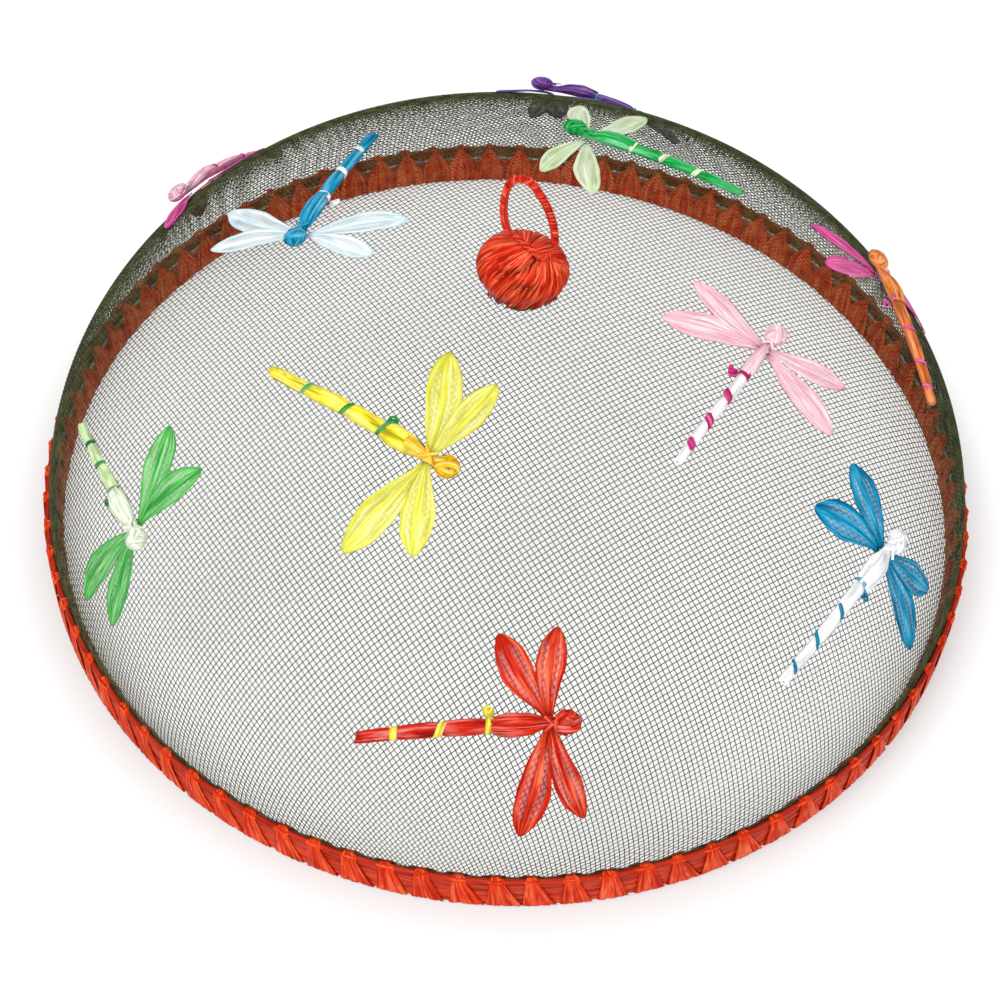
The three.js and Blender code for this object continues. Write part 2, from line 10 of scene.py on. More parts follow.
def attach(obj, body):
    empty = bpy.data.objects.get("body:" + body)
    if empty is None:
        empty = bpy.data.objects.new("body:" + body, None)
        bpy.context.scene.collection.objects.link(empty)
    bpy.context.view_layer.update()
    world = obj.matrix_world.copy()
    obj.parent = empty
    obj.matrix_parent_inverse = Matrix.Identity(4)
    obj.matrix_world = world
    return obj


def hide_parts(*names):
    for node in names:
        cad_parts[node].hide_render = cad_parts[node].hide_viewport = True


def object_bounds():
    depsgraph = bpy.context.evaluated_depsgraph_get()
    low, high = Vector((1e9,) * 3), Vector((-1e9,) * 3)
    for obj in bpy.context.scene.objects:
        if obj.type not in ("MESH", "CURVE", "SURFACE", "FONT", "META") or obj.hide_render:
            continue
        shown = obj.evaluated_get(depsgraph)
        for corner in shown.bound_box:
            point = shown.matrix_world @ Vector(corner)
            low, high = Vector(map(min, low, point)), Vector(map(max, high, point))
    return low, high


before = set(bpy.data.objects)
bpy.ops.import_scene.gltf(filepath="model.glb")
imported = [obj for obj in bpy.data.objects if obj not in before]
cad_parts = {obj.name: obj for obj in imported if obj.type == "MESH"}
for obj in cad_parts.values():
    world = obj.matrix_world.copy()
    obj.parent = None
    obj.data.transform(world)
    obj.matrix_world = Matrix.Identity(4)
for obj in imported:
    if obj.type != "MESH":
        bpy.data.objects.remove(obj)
cad_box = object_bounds()
MM = 0.001

# Sizes of the model, and the pitch of the real weave
RIM_RADIUS = 177.5 * MM
WALL_RADIUS = 174.54 * MM
WALL_TOP = 12 * MM
DOME_HEIGHT = 115 * MM
RISE = DOME_HEIGHT - WALL_TOP
SHOULDER_RADIUS = 0.81 * RISE
SKIN = 0.36 * MM
WIRE_PITCH = 1.81 * MM
STITCHES = 88
STITCH_PITCH = 2 * math.pi / STITCHES
STITCH_PHASE = math.radians(-89.4)
KNOB_HALF = np.array([16, 12.5, 13]) * MM
KNOB_YAW = math.radians(-8)
KNOB_FOOT = KNOB_HALF[2] * math.sin(math.radians(62))
KNOB_CENTRE_Z = DOME_HEIGHT + 0.66 * MM + KNOB_FOOT

# The dome's outline: an upright wall, a shoulder arc and a crown arc
SHOULDER_CENTRE = WALL_RADIUS - SHOULDER_RADIUS
CROWN_RADIUS = (SHOULDER_CENTRE**2 + RISE**2 - SHOULDER_RADIUS**2) / (2 * (RISE - SHOULDER_RADIUS))
CROWN_CENTRE_Z = DOME_HEIGHT - CROWN_RADIUS
CROWN_ANGLE = math.asin(SHOULDER_CENTRE / (CROWN_RADIUS - SHOULDER_RADIUS))
CROWN_ARC = CROWN_RADIUS * CROWN_ANGLE
DOME_ARC = CROWN_ARC + SHOULDER_RADIUS * (math.pi / 2 - CROWN_ANGLE)
MERIDIAN = DOME_ARC + WALL_TOP

# A strip's points across its width, as shares of it, and how far each stands up
ACROSS = np.linspace(-0.5, 0.5, 4)
ARCH = 1 - (2 * ACROSS) ** 2


def unit(v):
    return v / np.maximum(np.linalg.norm(v, axis=-1, keepdims=True), 1e-12)


def new_object(name, data):
    obj = bpy.data.objects.new(name, data)
    bpy.context.scene.collection.objects.link(obj)
    return obj


def circle(count):
    return np.arange(count) / count * 2 * math.pi


def turned(x, y, angle):
    return x * math.cos(angle) - y * math.sin(angle), x * math.sin(angle) + y * math.cos(angle)


def polar(radius, azimuth, *level):
    """Points from polar axes in plan, with a height where one is given."""
    flat = (radius * np.cos(azimuth), radius * np.sin(azimuth))
    return np.stack(np.broadcast_arrays(*flat, *level), -1)


def run_length(points):
    """Length along a line of points, at each of them."""
    return np.concatenate([[0], np.cumsum(np.linalg.norm(np.diff(points, axis=0), axis=1))])


def between(at, marks, values):
    """Vectors read off a row of vectors, at places among its marks."""
    return np.stack([np.interp(at, marks, values[:, k]) for k in range(3)], -1)


def ripple(rng, turn, waves, wave=np.sin):
    """A random sum of waves over an angle, one for each number of waves in a turn."""
    return sum(rng.normal() * wave(k * turn + rng.uniform(0, 6)) for k in waves)


def wander(rng, count, amount):
    """A smooth random wave of count values."""
    x = np.linspace(0, 1, count)
    value = np.zeros(count)
    for k in (1, 2, 3):
        value += rng.normal() / k * np.sin(2 * math.pi * k * x * 0.8 + rng.uniform(0, 6))
    return value * amount


def smooth_path(points, count):
    """A Catmull-Rom path through points, at even steps along its length."""
    p = np.asarray(points, float)
    p = np.concatenate([[2 * p[0] - p[1]], p, [2 * p[-1] - p[-2]]])
    t = np.linspace(0, 1, 12, endpoint=False)[:, None]
    fine = []
    for a, b, c, d in zip(p[:-3], p[1:-2], p[2:-1], p[3:]):
        square = (2 * a - 5 * b + 4 * c - d) * t**2
        cube = (3 * b - a - 3 * c + d) * t**3
        fine.append(0.5 * (2 * b + (c - a) * t + square + cube))
    fine = np.concatenate([*fine, p[-2:-1]])
    length = run_length(fine)
    return between(np.linspace(0, length[-1], count), length, fine)


# The dome's surface
def outline(arc, lift=0.0):
    """Radius, height and slope angle on the dome, at arc lengths from the crown."""
    arc = np.asarray(arc, float)
    on_crown = arc <= CROWN_ARC
    shoulder = CROWN_ANGLE + (arc - CROWN_ARC) / SHOULDER_RADIUS
    turn = np.where(on_crown, arc / CROWN_RADIUS, np.minimum(shoulder, math.pi / 2))
    reach = np.where(on_crown, CROWN_RADIUS, SHOULDER_RADIUS) + lift
    r = np.where(on_crown, 0, SHOULDER_CENTRE) + reach * np.sin(turn)
    z = np.where(on_crown, CROWN_CENTRE_Z, WALL_TOP) + reach * np.cos(turn)
    return r, z - np.maximum(arc - DOME_ARC, 0), turn


def plan_polar(plan):
    """The polar axes of the dome's flat map: arc length from the crown, and azimuth."""
    return np.hypot(plan[..., 0], plan[..., 1]), np.arctan2(plan[..., 1], plan[..., 0])


def on_dome(plan, lift=0.0):
    """Points over the dome, from its flat map."""
    arc, azimuth = plan_polar(plan)
    r, z, _ = outline(arc, lift)
    return polar(r, azimuth, z)


def dome_normal(plan):
    arc, azimuth = plan_polar(plan)
    turn = outline(arc)[2]
    return polar(np.sin(turn), azimuth, np.cos(turn))


# Mesh building
def grid_faces(rows, sides, closed=False):
    """Quads over rows of points, each row closed round its sides."""
    row = np.arange(rows if closed else rows - 1)[:, None]
    side = np.arange(sides)
    here, there = row * sides, (row + 1) % rows * sides
    turn = (side + 1) % sides
    return np.stack([here + side, here + turn, there + turn, there + side], -1)


def fibre_map(across, line, strip):
    """A fibre coordinate for each point of a grid: across, along, and the strip's number."""
    return np.stack(np.broadcast_arrays(across, run_length(line)[:, None], strip), -1)


class Build:
    """Gathers grids of points into one mesh. Each point has a fibre coordinate and a tone."""

    def __init__(self):
        self.points, self.faces, self.fibres, self.tones = [], [], [], []
        self.count = 0

    def add(self, points, faces, fibres, tones):
        self.points.append(points.reshape(-1, 3))
        self.faces.append(faces.reshape(-1, 4) + self.count)
        self.fibres.append(fibres.reshape(-1, 3))
        self.tones.append(tones.reshape(-1))
        self.count += len(self.points[-1])

    def tube(self, rings, strip, tone=0.5, closed=False):
        """A skin over rings, an array of ring by side by point, capped unless it is closed."""
        n, sides = rings.shape[:2]
        girth = 8 * MM
        fibres = fibre_map(np.arange(sides) / sides * girth, rings.mean(1), strip)
        tones = np.broadcast_to(np.asarray(tone, float).reshape(-1, 1), (n, sides))
        self.add(rings, grid_faces(n, sides, closed), fibres, tones)
        if closed:
            return
        side = np.arange(sides)
        turn = (side + 1) % sides
        hub = np.full(sides, sides)
        for k, rim in ((0, (turn, side)), (n - 1, (side, turn))):
            points = np.append(rings[k], [rings[k].mean(0)], 0)
            fibre = np.append(fibres[k], [fibres[k].mean(0)], 0)
            self.add(points, np.stack([*rim, hub, hub], -1), fibre, np.full(sides + 1, tones[k, 0]))

    def sheet(self, grid, normals, thickness, strip, width, tone=0.5):
        """A closed sheet over a grid of along by across points, thickness deep."""
        n, m = grid.shape[:2]
        under = grid - normals * thickness
        both = np.concatenate([grid, under[:, ::-1]], 1)
        across = np.linspace(0, 1, m)
        fibres = fibre_map(np.append(across, across[::-1]) * width, grid[:, m // 2], strip)
        tone = np.broadcast_to(np.asarray(tone, float), (n, m))
        tones = np.concatenate([tone, tone[:, ::-1]], 1)
        outwards = grid_faces(n, 2 * m)[..., [0, 3, 2, 1]].reshape(-1, 4)
        a = np.arange(m - 1)
        ends = np.stack([a, a + 1, 2 * m - 2 - a, 2 * m - 1 - a], -1)
        faces = np.concatenate([outwards, ends, ends[:, ::-1] + (n - 1) * 2 * m])
        self.add(both, faces, fibres, tones)

    def finish(self, name, material, node, slot, body="cover"):
        """Make the piece. A face whose last two corners are one is a triangle."""

        def flat(parts):
            return np.concatenate(parts).astype(np.float32).ravel()

        faces = np.concatenate(self.faces).astype(np.int32)
        triangle = faces[:, 2] == faces[:, 3]
        keep = np.ones(faces.shape, bool)
        keep[triangle, 3] = False
        loops = faces[keep]
        sizes = np.where(triangle, 3, 4)
        starts = np.append(0, np.cumsum(sizes)[:-1]).astype(np.int32)
        mesh = bpy.data.meshes.new(name)
        mesh.vertices.add(self.count)
        mesh.vertices.foreach_set("co", flat(self.points))
        mesh.loops.add(len(loops))
        mesh.loops.foreach_set("vertex_index", loops)
        mesh.polygons.add(len(sizes))
        mesh.polygons.foreach_set("loop_start", starts)
        mesh.polygons.foreach_set("use_smooth", np.full(len(sizes), True))
        mesh.update(calc_edges=True)
        mesh.validate()
        fibre = mesh.attributes.new("fibre", "FLOAT_VECTOR", "POINT")
        fibre.data.foreach_set("vector", flat(self.fibres))
        tone = mesh.attributes.new("tone", "FLOAT", "POINT")
        tone.data.foreach_set("value", flat(self.tones))
        mesh.materials.append(material)
        obj = new_object(name, mesh)
        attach(obj, body)
        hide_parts(node)


def tube_rings(path, normal, radii, sides):
    """Rings round a path, each of whose first points lies across it and the normal."""
    tangent = unit(np.gradient(path, axis=0))
    side = unit(np.cross(tangent, normal))
    up = np.cross(side, tangent)
    angle = circle(sides)[:, None]
    radii = np.broadcast_to(np.asarray(radii, float), len(path))
    ring = np.cos(angle) * side[:, None] + np.sin(angle) * up[:, None]
    return path[:, None] + radii[:, None, None] * ring


# Materials
def channels(code):
    return [int(code[k : k + 2], 16) for k in (0, 2, 4)]


def linear(code):
    shares = [c / 255 for c in channels(code)]
    return (*(c / 12.92 if c <= 0.04045 else ((c + 0.055) / 1.055) ** 2.4 for c in shares), 1)


class Nodes:
    """Short calls that fill the node tree of a material or of the world."""

    def __init__(self, owner, output):
        owner.use_nodes = True
        self.tree = owner.node_tree
        self.tree.nodes.clear()
        self.end = self.tree.nodes.new(output).inputs[0]

    def put(self, socket, value):
        if isinstance(value, bpy.types.NodeSocket):
            self.tree.links.new(value, socket)
        else:
            socket.default_value = value

    def node(self, kind, inputs, output=0, **settings):
        """A new node with its inputs filled. Gives one of its outputs."""
        node = self.tree.nodes.new(kind)
        for name, value in settings.items():
            setattr(node, name, value)
        for place, value in inputs.items():
            self.put(node.inputs[place], value)
        return node.outputs[output]

    def math(self, operation, a, b=0.0):
        return self.node("ShaderNodeMath", {0: a, 1: b}, operation=operation)

    def largest(self, first, *others):
        for other in others:
            first = self.math("MAXIMUM", first, other)
        return first

    def mix(self, factor, a, b):
        return self.node("ShaderNodeMix", {0: factor, 6: a, 7: b}, 2, data_type="RGBA")

    def noise(self, vector, scale, detail):
        """Noise with a scale for each axis, so that it can run into streaks."""
        vector = self.node("ShaderNodeMapping", {"Vector": vector, "Scale": scale})
        inputs = {"Vector": vector, "Scale": 1.0, "Detail": detail, "Roughness": 0.55}
        return self.node("ShaderNodeTexNoise", inputs)

    def spread(self, value, low, high, out_low=0.0, out_high=1.0):
        inputs = dict(enumerate((value, low, high, out_low, out_high)))
        return self.node("ShaderNodeMapRange", inputs)

    def position(self):
        return self.node("ShaderNodeNewGeometry", {}, "Position")


class Surface(Nodes):
    """A material with one Principled shader."""

    def __init__(self, name):
        self.material = bpy.data.materials.new(name)
        super().__init__(self.material, "ShaderNodeOutputMaterial")
        self.shader = self.tree.nodes.new("ShaderNodeBsdfPrincipled")
        self.put(self.end, self.shader.outputs[0])

    def set(self, name, value):
        self.put(self.shader.inputs[name], value)

    def paint(self, colour, layers):
        """Each layer lays a colour over those before it. It starts where its chart has the
        first value, and reaches its full share at the second."""
        for chart, start, full, share, code in layers:
            colour = self.mix(self.spread(chart, start, full, 0.0, share), colour, linear(code))
        self.set("Base Color", colour)

    def gloss(self, chart, dull, glossy, specular):
        """Roughness between two values as the chart says, and the strength of highlights."""
        self.set("Roughness", self.spread(chart, 0.3, 0.7, dull, glossy))
        self.set("Specular IOR Level", specular)

    def bump(self, height, strength, distance):
        inputs = {"Height": height, "Strength": strength, "Distance": distance}
        self.set("Normal", self.node("ShaderNodeBump", inputs))


def raffia(name, base, shade, light, second=None, rough=0.45, clear=0.0):
    """Raffia: streaks along the fibre, in three tones, partly its own uneven tone and partly
    painted highlights in the pale streaks and painted shade in the dark ones. The tone attribute
    turns the base towards a second colour, and clear lets thin places show what is under them."""
    n = Surface(name)
    fibre = n.node("ShaderNodeAttribute", {}, "Vector", attribute_name="fibre")
    tone = n.node("ShaderNodeAttribute", {}, "Fac", attribute_name="tone")
    fine = n.noise(fibre, (5200, 150, 37), 2.0)
    broad = n.noise(fibre, (1150, 55, 11), 2.0)
    patch = n.noise(fibre, (330, 90, 5), 2.0)
    # Pale layers are partly painted highlights and dark layers partly painted shade, over the
    # raffia's own uneven tone.
    layers = [
        (broad, 0.5, 0.66, 0.85, light), (patch, 0.54, 0.7, 0.5, light),
        (broad, 0.48, 0.34, 0.9, shade), (patch, 0.46, 0.32, 0.6, shade),
        (fine, 0.48, 0.32, 0.6, shade),
    ]
    if clear:
        layers.append((tone, 0.75, 0.35, 0.55, shade))
        thin = n.spread(n.math("ADD", tone, n.math("MULTIPLY", fine, 0.3)), 0.85, 1.2)
        n.set("Alpha", n.math("SUBTRACT", 1.0, n.math("MULTIPLY", thin, clear)))
    n.paint(n.mix(tone, linear(base), linear(second)) if second else linear(base), layers)
    n.gloss(broad, rough + 0.14, rough - 0.1, 0.05)
    n.bump(n.math("ADD", fine, n.math("MULTIPLY", broad, 1.8)), 0.8, 0.2 * MM)
    return n.material


def wire_metal(name, dark, light, rough):
    """Metal wire, worn light in places."""
    n = Surface(name)
    worn = n.noise(n.position(), (240, 240, 240), 4.0)
    broad = n.noise(n.position(), (22, 22, 22), 2.0)
    n.paint(linear(dark), [(worn, 0.35, 0.7, 1.0, light), (broad, 0.4, 0.7, 0.35, dark)])
    n.gloss(worn, rough + 0.12, rough - 0.08, 0.12)
    n.bump(worn, 0.3, 0.05 * MM)
    return n.material


def band_raffia(name, base, shade, light):
    """Raffia laid round the rim: streaks that follow its circle, the pale ones partly painted
    highlights, and darker towards the top with painted shade.
    """
    n = Surface(name)
    place = n.position()
    x, y, z = (n.node("ShaderNodeSeparateXYZ", {0: place}, k) for k in range(3))
    radius = n.math("SQRT", n.math("ADD", n.math("MULTIPLY", x, x), n.math("MULTIPLY", y, y)))
    round_rim = n.node("ShaderNodeCombineXYZ", {0: n.math("ARCTAN2", y, x), 1: z, 2: radius})
    fine = n.noise(round_rim, (14, 2600, 2600), 3.0)
    broad = n.noise(round_rim, (9, 520, 520), 2.0)
    layers = [
        (fine, 0.48, 0.66, 0.75, light),
        (broad, 0.52, 0.36, 0.85, shade),
        # Painted shade: darker towards the top of the band.
        (z, 8 * MM, 16 * MM, 0.6, shade),
    ]
    n.paint(linear(base), layers)
    n.gloss(broad, 0.5, 0.28, 0.05)
    n.bump(n.math("ADD", fine, n.math("MULTIPLY", broad, 1.4)), 0.6, 0.15 * MM)
    return n.material


def dress(node, material):
    """Give a node of the model its material here."""
    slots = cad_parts[node].data.materials
    slots.clear()
    slots.append(material)


# Camera, from the fit to the rim and the dome's outline in the photograph
FRAME_PX = 1000
FOCAL_PX = 2024.84
SENSOR = 36
ELEVATION = math.radians(53.206)
ROLL = math.radians(3.713)
TARGET = Vector((-2.591, 0, -6.403)) * MM
DISTANCE = 0.8


def make_camera():
    back = Vector((0, -math.cos(ELEVATION), math.sin(ELEVATION)))
    level_right = Vector((1, 0, 0))
    level_up = back.cross(level_right)
    right = level_right * math.cos(ROLL) + level_up * math.sin(ROLL)
    up = level_up * math.cos(ROLL) - level_right * math.sin(ROLL)
    data = bpy.data.cameras.new("camera")
    data.sensor_width = SENSOR
    data.lens = FOCAL_PX / FRAME_PX * SENSOR
    data.clip_start = 0.01
    data.clip_end = 50
    camera = new_object("camera", data)
    turn = Matrix((right, up, back)).transposed().to_4x4()
    camera.matrix_world = Matrix.Translation(TARGET + back * DISTANCE) @ turn
    bpy.context.scene.camera = camera


# Floor, world and lamps. The floor glows for rays that see it directly, fully far away and
# least in a ring at the rim: that dip is a painted shadow, darker than what the lamps cast there.
FLOOR_HALF = 6
FLOOR_GAP = 0.05 * MM
FLOOR_PALE = 0.36
FLOOR_GLOW = 0.7
PAINTED_SHADOW_GLOW = 0.43
PAINTED_SHADOW_REACH = 20 * MM
PAINTED_SHADOW_INSIDE = (8 * MM, 2 * MM)
FAR_FADE = (0.4, 1.6)
WORLD_LIGHT = 0.4
WHITE = (1, 1, 1, 1)

# Name, place, width and power
LAMPS = [
    ("key", (-0.7, -0.6, 1.5), 0.9, 17.5), ("fill", (1.1, -0.7, 1.1), 1.4, 6.5),
    ("front", (0.1, -1.6, 0.7), 1.2, 12), ("back", (0.2, 1.3, 1.2), 1.4, 6.5),
]
LAMP_AIM = Vector((0, 0, 0.05))


def seen_directly(n):
    """1 for rays from the camera, off gloss or through clear places, and 0 for the rest."""
    kinds = ("Is Camera Ray", "Is Glossy Ray", "Is Transmission Ray")
    return n.largest(*(n.node("ShaderNodeLightPath", {}, kind) for kind in kinds))


def make_floor():
    n = Surface("floor_white")
    n.set("Base Color", (FLOOR_PALE, FLOOR_PALE, FLOOR_PALE, 1))
    n.set("Roughness", 0.9)
    n.set("Specular IOR Level", 0.0)
    n.set("Emission Color", WHITE)
    radius = n.node("ShaderNodeVectorMath", {0: n.position()}, "Value", operation="LENGTH")
    # The glow dips in a ring round the rim, inside and out: a painted shadow.
    inner, foot = (RIM_RADIUS - inset for inset in PAINTED_SHADOW_INSIDE)
    outside = n.spread(radius, foot, RIM_RADIUS + PAINTED_SHADOW_REACH, PAINTED_SHADOW_GLOW, FLOOR_GLOW)
    inside = n.spread(radius, inner, foot, FLOOR_GLOW, PAINTED_SHADOW_GLOW)
    glow = n.largest(outside, inside, n.spread(radius, *FAR_FADE))
    n.set("Emission Strength", n.math("MULTIPLY", seen_directly(n), glow))
    mesh = bpy.data.meshes.new("floor")
    near, far = -FLOOR_HALF, FLOOR_HALF
    corners = [(near, near, 0), (far, near, 0), (far, far, 0), (near, far, 0)]
    mesh.from_pydata(corners, [], [(0, 1, 2, 3)])
    mesh.materials.append(n.material)
    floor = new_object("floor", mesh)
    floor.location.z = cad_box[0][2] - FLOOR_GAP


def make_lights():
    world = bpy.data.worlds.new("world")
    bpy.context.scene.world = world
    n = Nodes(world, "ShaderNodeOutputWorld")
    strength = n.spread(seen_directly(n), 0, 1, WORLD_LIGHT, 1)
    n.put(n.end, n.node("ShaderNodeBackground", {"Color": WHITE, "Strength": strength}))
    for name, place, size, energy in LAMPS:
        data = bpy.data.lights.new(name, "AREA")
        data.shape = "DISK"
        data.size = size
        data.energy = energy
        lamp = new_object(name, data)
        lamp.location = place
        lamp.rotation_euler = (LAMP_AIM - Vector(place)).to_track_quat("-Z", "Y").to_euler()


make_camera()
make_floor()
make_lights()
bpy.context.scene.view_settings.view_transform = "Standard"


# Screen: real crossing wires, laid over the dome as a cloth whose wires keep their spacing
NET_TURN = math.radians(36)
WIRE_RADIUS = 0.16 * MM
WIRE_STOP = 1.6 * MM
WIRE_JITTER = 0.02 * WIRE_PITCH
WIRE_SIDES = 4
WIRE_GROUPS = 4


def net_quarter(count):
    """Crossings of one quarter of the net in the dome's flat map. Each lies one pitch from
    the two before it, so the squares lean over where the dome is steep."""
    flat = np.full((count, count, 2), np.nan)
    reach = np.arange(count) * WIRE_PITCH
    flat[:, 0] = polar(reach, NET_TURN)
    flat[0, :] = polar(reach, NET_TURN + math.pi / 2)
    nudge = 1e-6
    for diagonal in range(2, 2 * count - 1):
        i = np.arange(max(1, diagonal - count + 1), min(count - 1, diagonal - 1) + 1)
        j = diagonal - i
        a, b = flat[i - 1, j], flat[i, j - 1]
        ends = on_dome(a), on_dome(b)
        guess = a + b - flat[i - 1, j - 1]
        for _ in range(6):
            point = on_dome(guess)
            slopes = [(on_dome(guess + way) - point) / nudge for way in ([nudge, 0], [0, nudge])]
            rows = []
            for end in ends:
                gap = point - end
                miss = (gap**2).sum(-1) - WIRE_PITCH**2
                rows.append((miss, *(2 * (gap * slope).sum(-1) for slope in slopes)))
            (miss_a, ax, ay), (miss_b, bx, by) = rows
            det = ax * by - ay * bx
            det = np.where(np.abs(det) < 1e-12, np.nan, det)
            move_x = (miss_a * by - miss_b * ay) / det
            move_y = (ax * miss_b - bx * miss_a) / det
            step = np.stack([move_x, move_y], -1)
            size = np.linalg.norm(step, axis=-1, keepdims=True)
            guess = guess - np.where(size > WIRE_PITCH, step / size * WIRE_PITCH, step)
        flat[i, j] = guess
    return flat


def whole_net(quarter):
    """Four quarters, turned about the crown, as one grid of crossings."""
    count = len(quarter)
    mid = count - 1
    net = np.full((2 * count - 1, 2 * count - 1, 2), np.nan)
    i, j = np.indices((count, count))
    for k, (a, b) in enumerate([(i, j), (-j, i), (-i, -j), (j, -i)]):
        c, s = math.cos(k * math.pi / 2), math.sin(k * math.pi / 2)
        net[mid + a, mid + b] = quarter @ np.array([[c, s], [-s, c]])
    return net


def screen_wires(material):
    reach = MERIDIAN - WIRE_STOP
    net = whole_net(net_quarter(int(reach / WIRE_PITCH) + 2))
    arc = plan_polar(net)[0]
    inside = np.isfinite(arc) & (arc <= reach)
    over = np.where(np.indices(arc.shape).sum(0) % 2, 1.0, -1.0)
    rng = np.random.default_rng(5)
    flat = np.where(np.isfinite(net), net, 0.0)
    flat += rng.normal(0, WIRE_JITTER, flat.shape)
    normal = dome_normal(flat)
    point = on_dome(flat)
    for name, side in (("warp", -1), ("weft", 1)):
        grids = [point + normal * (over * side * WIRE_RADIUS)[..., None], normal, inside]
        if name == "weft":
            grids = [grid.swapaxes(0, 1) for grid in grids]
        lines = []
        for number, (wire, up, live) in enumerate(zip(*grids)):
            live = np.flatnonzero(live)
            if len(live) >= 4:
                cut = slice(live[0], live[-1] + 1)
                rings = tube_rings(wire[cut], up[cut], WIRE_RADIUS, WIRE_SIDES)
                lines.append((rings, number))
        for g in range(WIRE_GROUPS):
            first, end = (k * len(lines) // WIRE_GROUPS for k in (g, g + 1))
            build = Build()
            for rings, number in lines[first:end]:
                build.tube(rings, number)
            build.finish(f"screen_{name}_{g + 1}", material, "screen_dome", "screen_wire")


screen_wires(wire_metal("screen_metal", "22260f", "5e643a", 0.5))


# Rim
STITCH_DEPTH = 0.22 * MM
STITCH_GRAIN = 9 * MM
RIM_GROUPS = 4


def hoop_strip(node, shown, hidden, low, high, ridges, seed, material):
    """A flat hoop of strips laid side by side, ridged on its shown face, in millimetres."""
    rng = np.random.default_rng(seed)
    segments = 264
    face = 1 if shown > hidden else -1
    share = np.linspace(0, 1, 4 * ridges + 1)
    crest = 0.5 - 0.5 * np.cos(2 * math.pi * ridges * share)
    angle = circle(segments)[:, None]
    wave = ripple(rng, angle, range(3, 9))
    radius = shown - face * 0.35 * (1 - crest) + 0.03 * wave
    radius = np.concatenate([radius, np.full((segments, 2), hidden)], 1) * MM
    level = np.append(low + (high - low) * share, [high, low]) * MM
    rings = polar(radius, angle, level)
    build = Build()
    build.tube(rings if face > 0 else rings[:, ::-1], 1.0, closed=True)
    build.finish(f"{node}_strip", material, node, "rim_hoop")


def stitch_sheet(rng, stitch):
    """One stitch of the rim, as a grid of along by across points, with its normals. It runs
    from its inner peak down inside the rim, under it, up outside and back over the top."""
    lean = rng.normal(0, 0.02)
    top = rng.uniform(0.38, 0.5)
    foot = rng.uniform(0.82, 1.0)
    # Radius and height in millimetres, then the left and right edges as shares of the pitch
    route = np.array([
        (174.0, 16.9, 0.08, 0.26), (173.2, 15.4, -0.02, 0.36),
        (172.3, 12.8, -0.18, 0.52), (171.4, 9.5, -0.31, 0.65),
        (171.3, 6.0, -0.34, 0.68), (171.45, 1.2, -0.34, 0.68),
        (172.4, 0.25, -0.3, 0.68), (174.5, 0.12, -0.2, 0.75),
        (176.7, 0.15, -0.03, foot), (177.4, 0.9, -0.01, foot),
        (177.45, 5.0, 0.0, 0.3 * top + 0.7 * foot), (177.4, 11.5, 0.01, 0.72 * top + 0.28 * foot),
        (177.1, 15.2, 0.02, top), (176.6, 16.5, 0.03, top),
        (175.4, 17.0, 0.04, 0.9 * top), (174.3, 16.95, 0.06, 0.28),
    ])
    section_middle = np.array([174.4, 9.0]) * MM
    finer = []
    for here, there in zip(route[:-1], route[1:]):
        steps = 3 if abs(there[1] - here[1]) > 4 else 1
        finer += [here + (there - here) * s / steps for s in range(steps)]
    route = np.array([*finer, route[-1]])
    across = 15
    left = route[:, 2, None] + lean
    wide = (route[:, 3] - route[:, 2])[:, None]
    azimuth = STITCH_PHASE + (stitch + left + wide * np.linspace(0, 1, across)) * STITCH_PITCH
    pleat = rng.normal(0, 1, across)
    pleat = 0.16 * MM * (pleat - pleat.mean()) * np.clip(wide * 2.2, 0.5, 1)
    section = route[:, :2] * MM
    tangent = unit(np.gradient(section, axis=0))
    outward = np.stack([tangent[:, 1], -tangent[:, 0]], -1)
    inwards = ((section - section_middle) * outward).sum(-1) < 0
    outward = outward * np.where(inwards, -1, 1)[:, None]
    radial = np.minimum(section[:, :1] + outward[:, :1] * pleat, RIM_RADIUS - 0.02 * MM)
    level = np.maximum(section[:, 1:] + outward[:, 1:] * pleat, 0.03 * MM)
    return polar(radial, azimuth, level), polar(outward[:, :1], azimuth, outward[:, 1:])


def pinch_cord(build, rng, stitch):
    """The short twisted strand that draws in the top of a stitch."""
    steps = 9
    azimuth = STITCH_PHASE + (stitch + np.linspace(-0.02, 0.4, steps)) * STITCH_PITCH
    bow = np.sin(np.linspace(0, math.pi, steps))
    radius = (176.2 + 0.5 * bow + rng.uniform(-0.2, 0.2)) * MM
    level = (16.1 + 0.7 * bow + rng.normal(0, 0.18, steps)) * MM
    path = polar(radius, azimuth, level)
    up = np.broadcast_to([0.0, 0.0, 1.0], path.shape)
    radii = 0.62 * MM * (1 + 0.3 * np.sin(np.linspace(0, 11, steps) + stitch))
    build.tube(tube_rings(path, up, radii, 6), stitch * 3.1)


def rim_whipping(material):
    rng = np.random.default_rng(11)
    share = STITCHES // RIM_GROUPS
    for part in range(RIM_GROUPS):
        build = Build()
        for stitch in range(part * share, (part + 1) * share):
            build.sheet(*stitch_sheet(rng, stitch), STITCH_DEPTH, stitch * 1.7, STITCH_GRAIN)
            pinch_cord(build, rng, stitch)
        build.finish(f"rim_whipping_{part + 1}", material, "rim_binding", "rim_raffia")


rim_red = raffia("rim_raffia_red", "ee3c12", "b01c08", "ff7a48")
band_red = band_raffia("rim_band_red", "d6361a", "8c180c", "f87048")
hoop_strip("outer_hoop", 176.7, 174.9, 0.1, 16.6, 4, 3, band_red)
hoop_strip("inner_hoop", 172.78, 173.78, 1.1, 12, 3, 4, band_red)
rim_whipping(rim_red)
dress("rim_wire", wire_metal("rim_wire_steel", "5e5e56", "c8c8c0", 0.25))


# Knob. Its own frame has its origin at the ball's centre, and is turned by its yaw.
FOOT_SPAN, FOOT_SHIFT, FOOT_BACK, FOOT_LIFT = np.array([14.8, 1.8, 1.7, 1.7]) * MM
HANDLE_RISE = 26 * MM
RIDGE_BULGE = 6.8 * MM
STRANDS = 420
WHIPS = 40

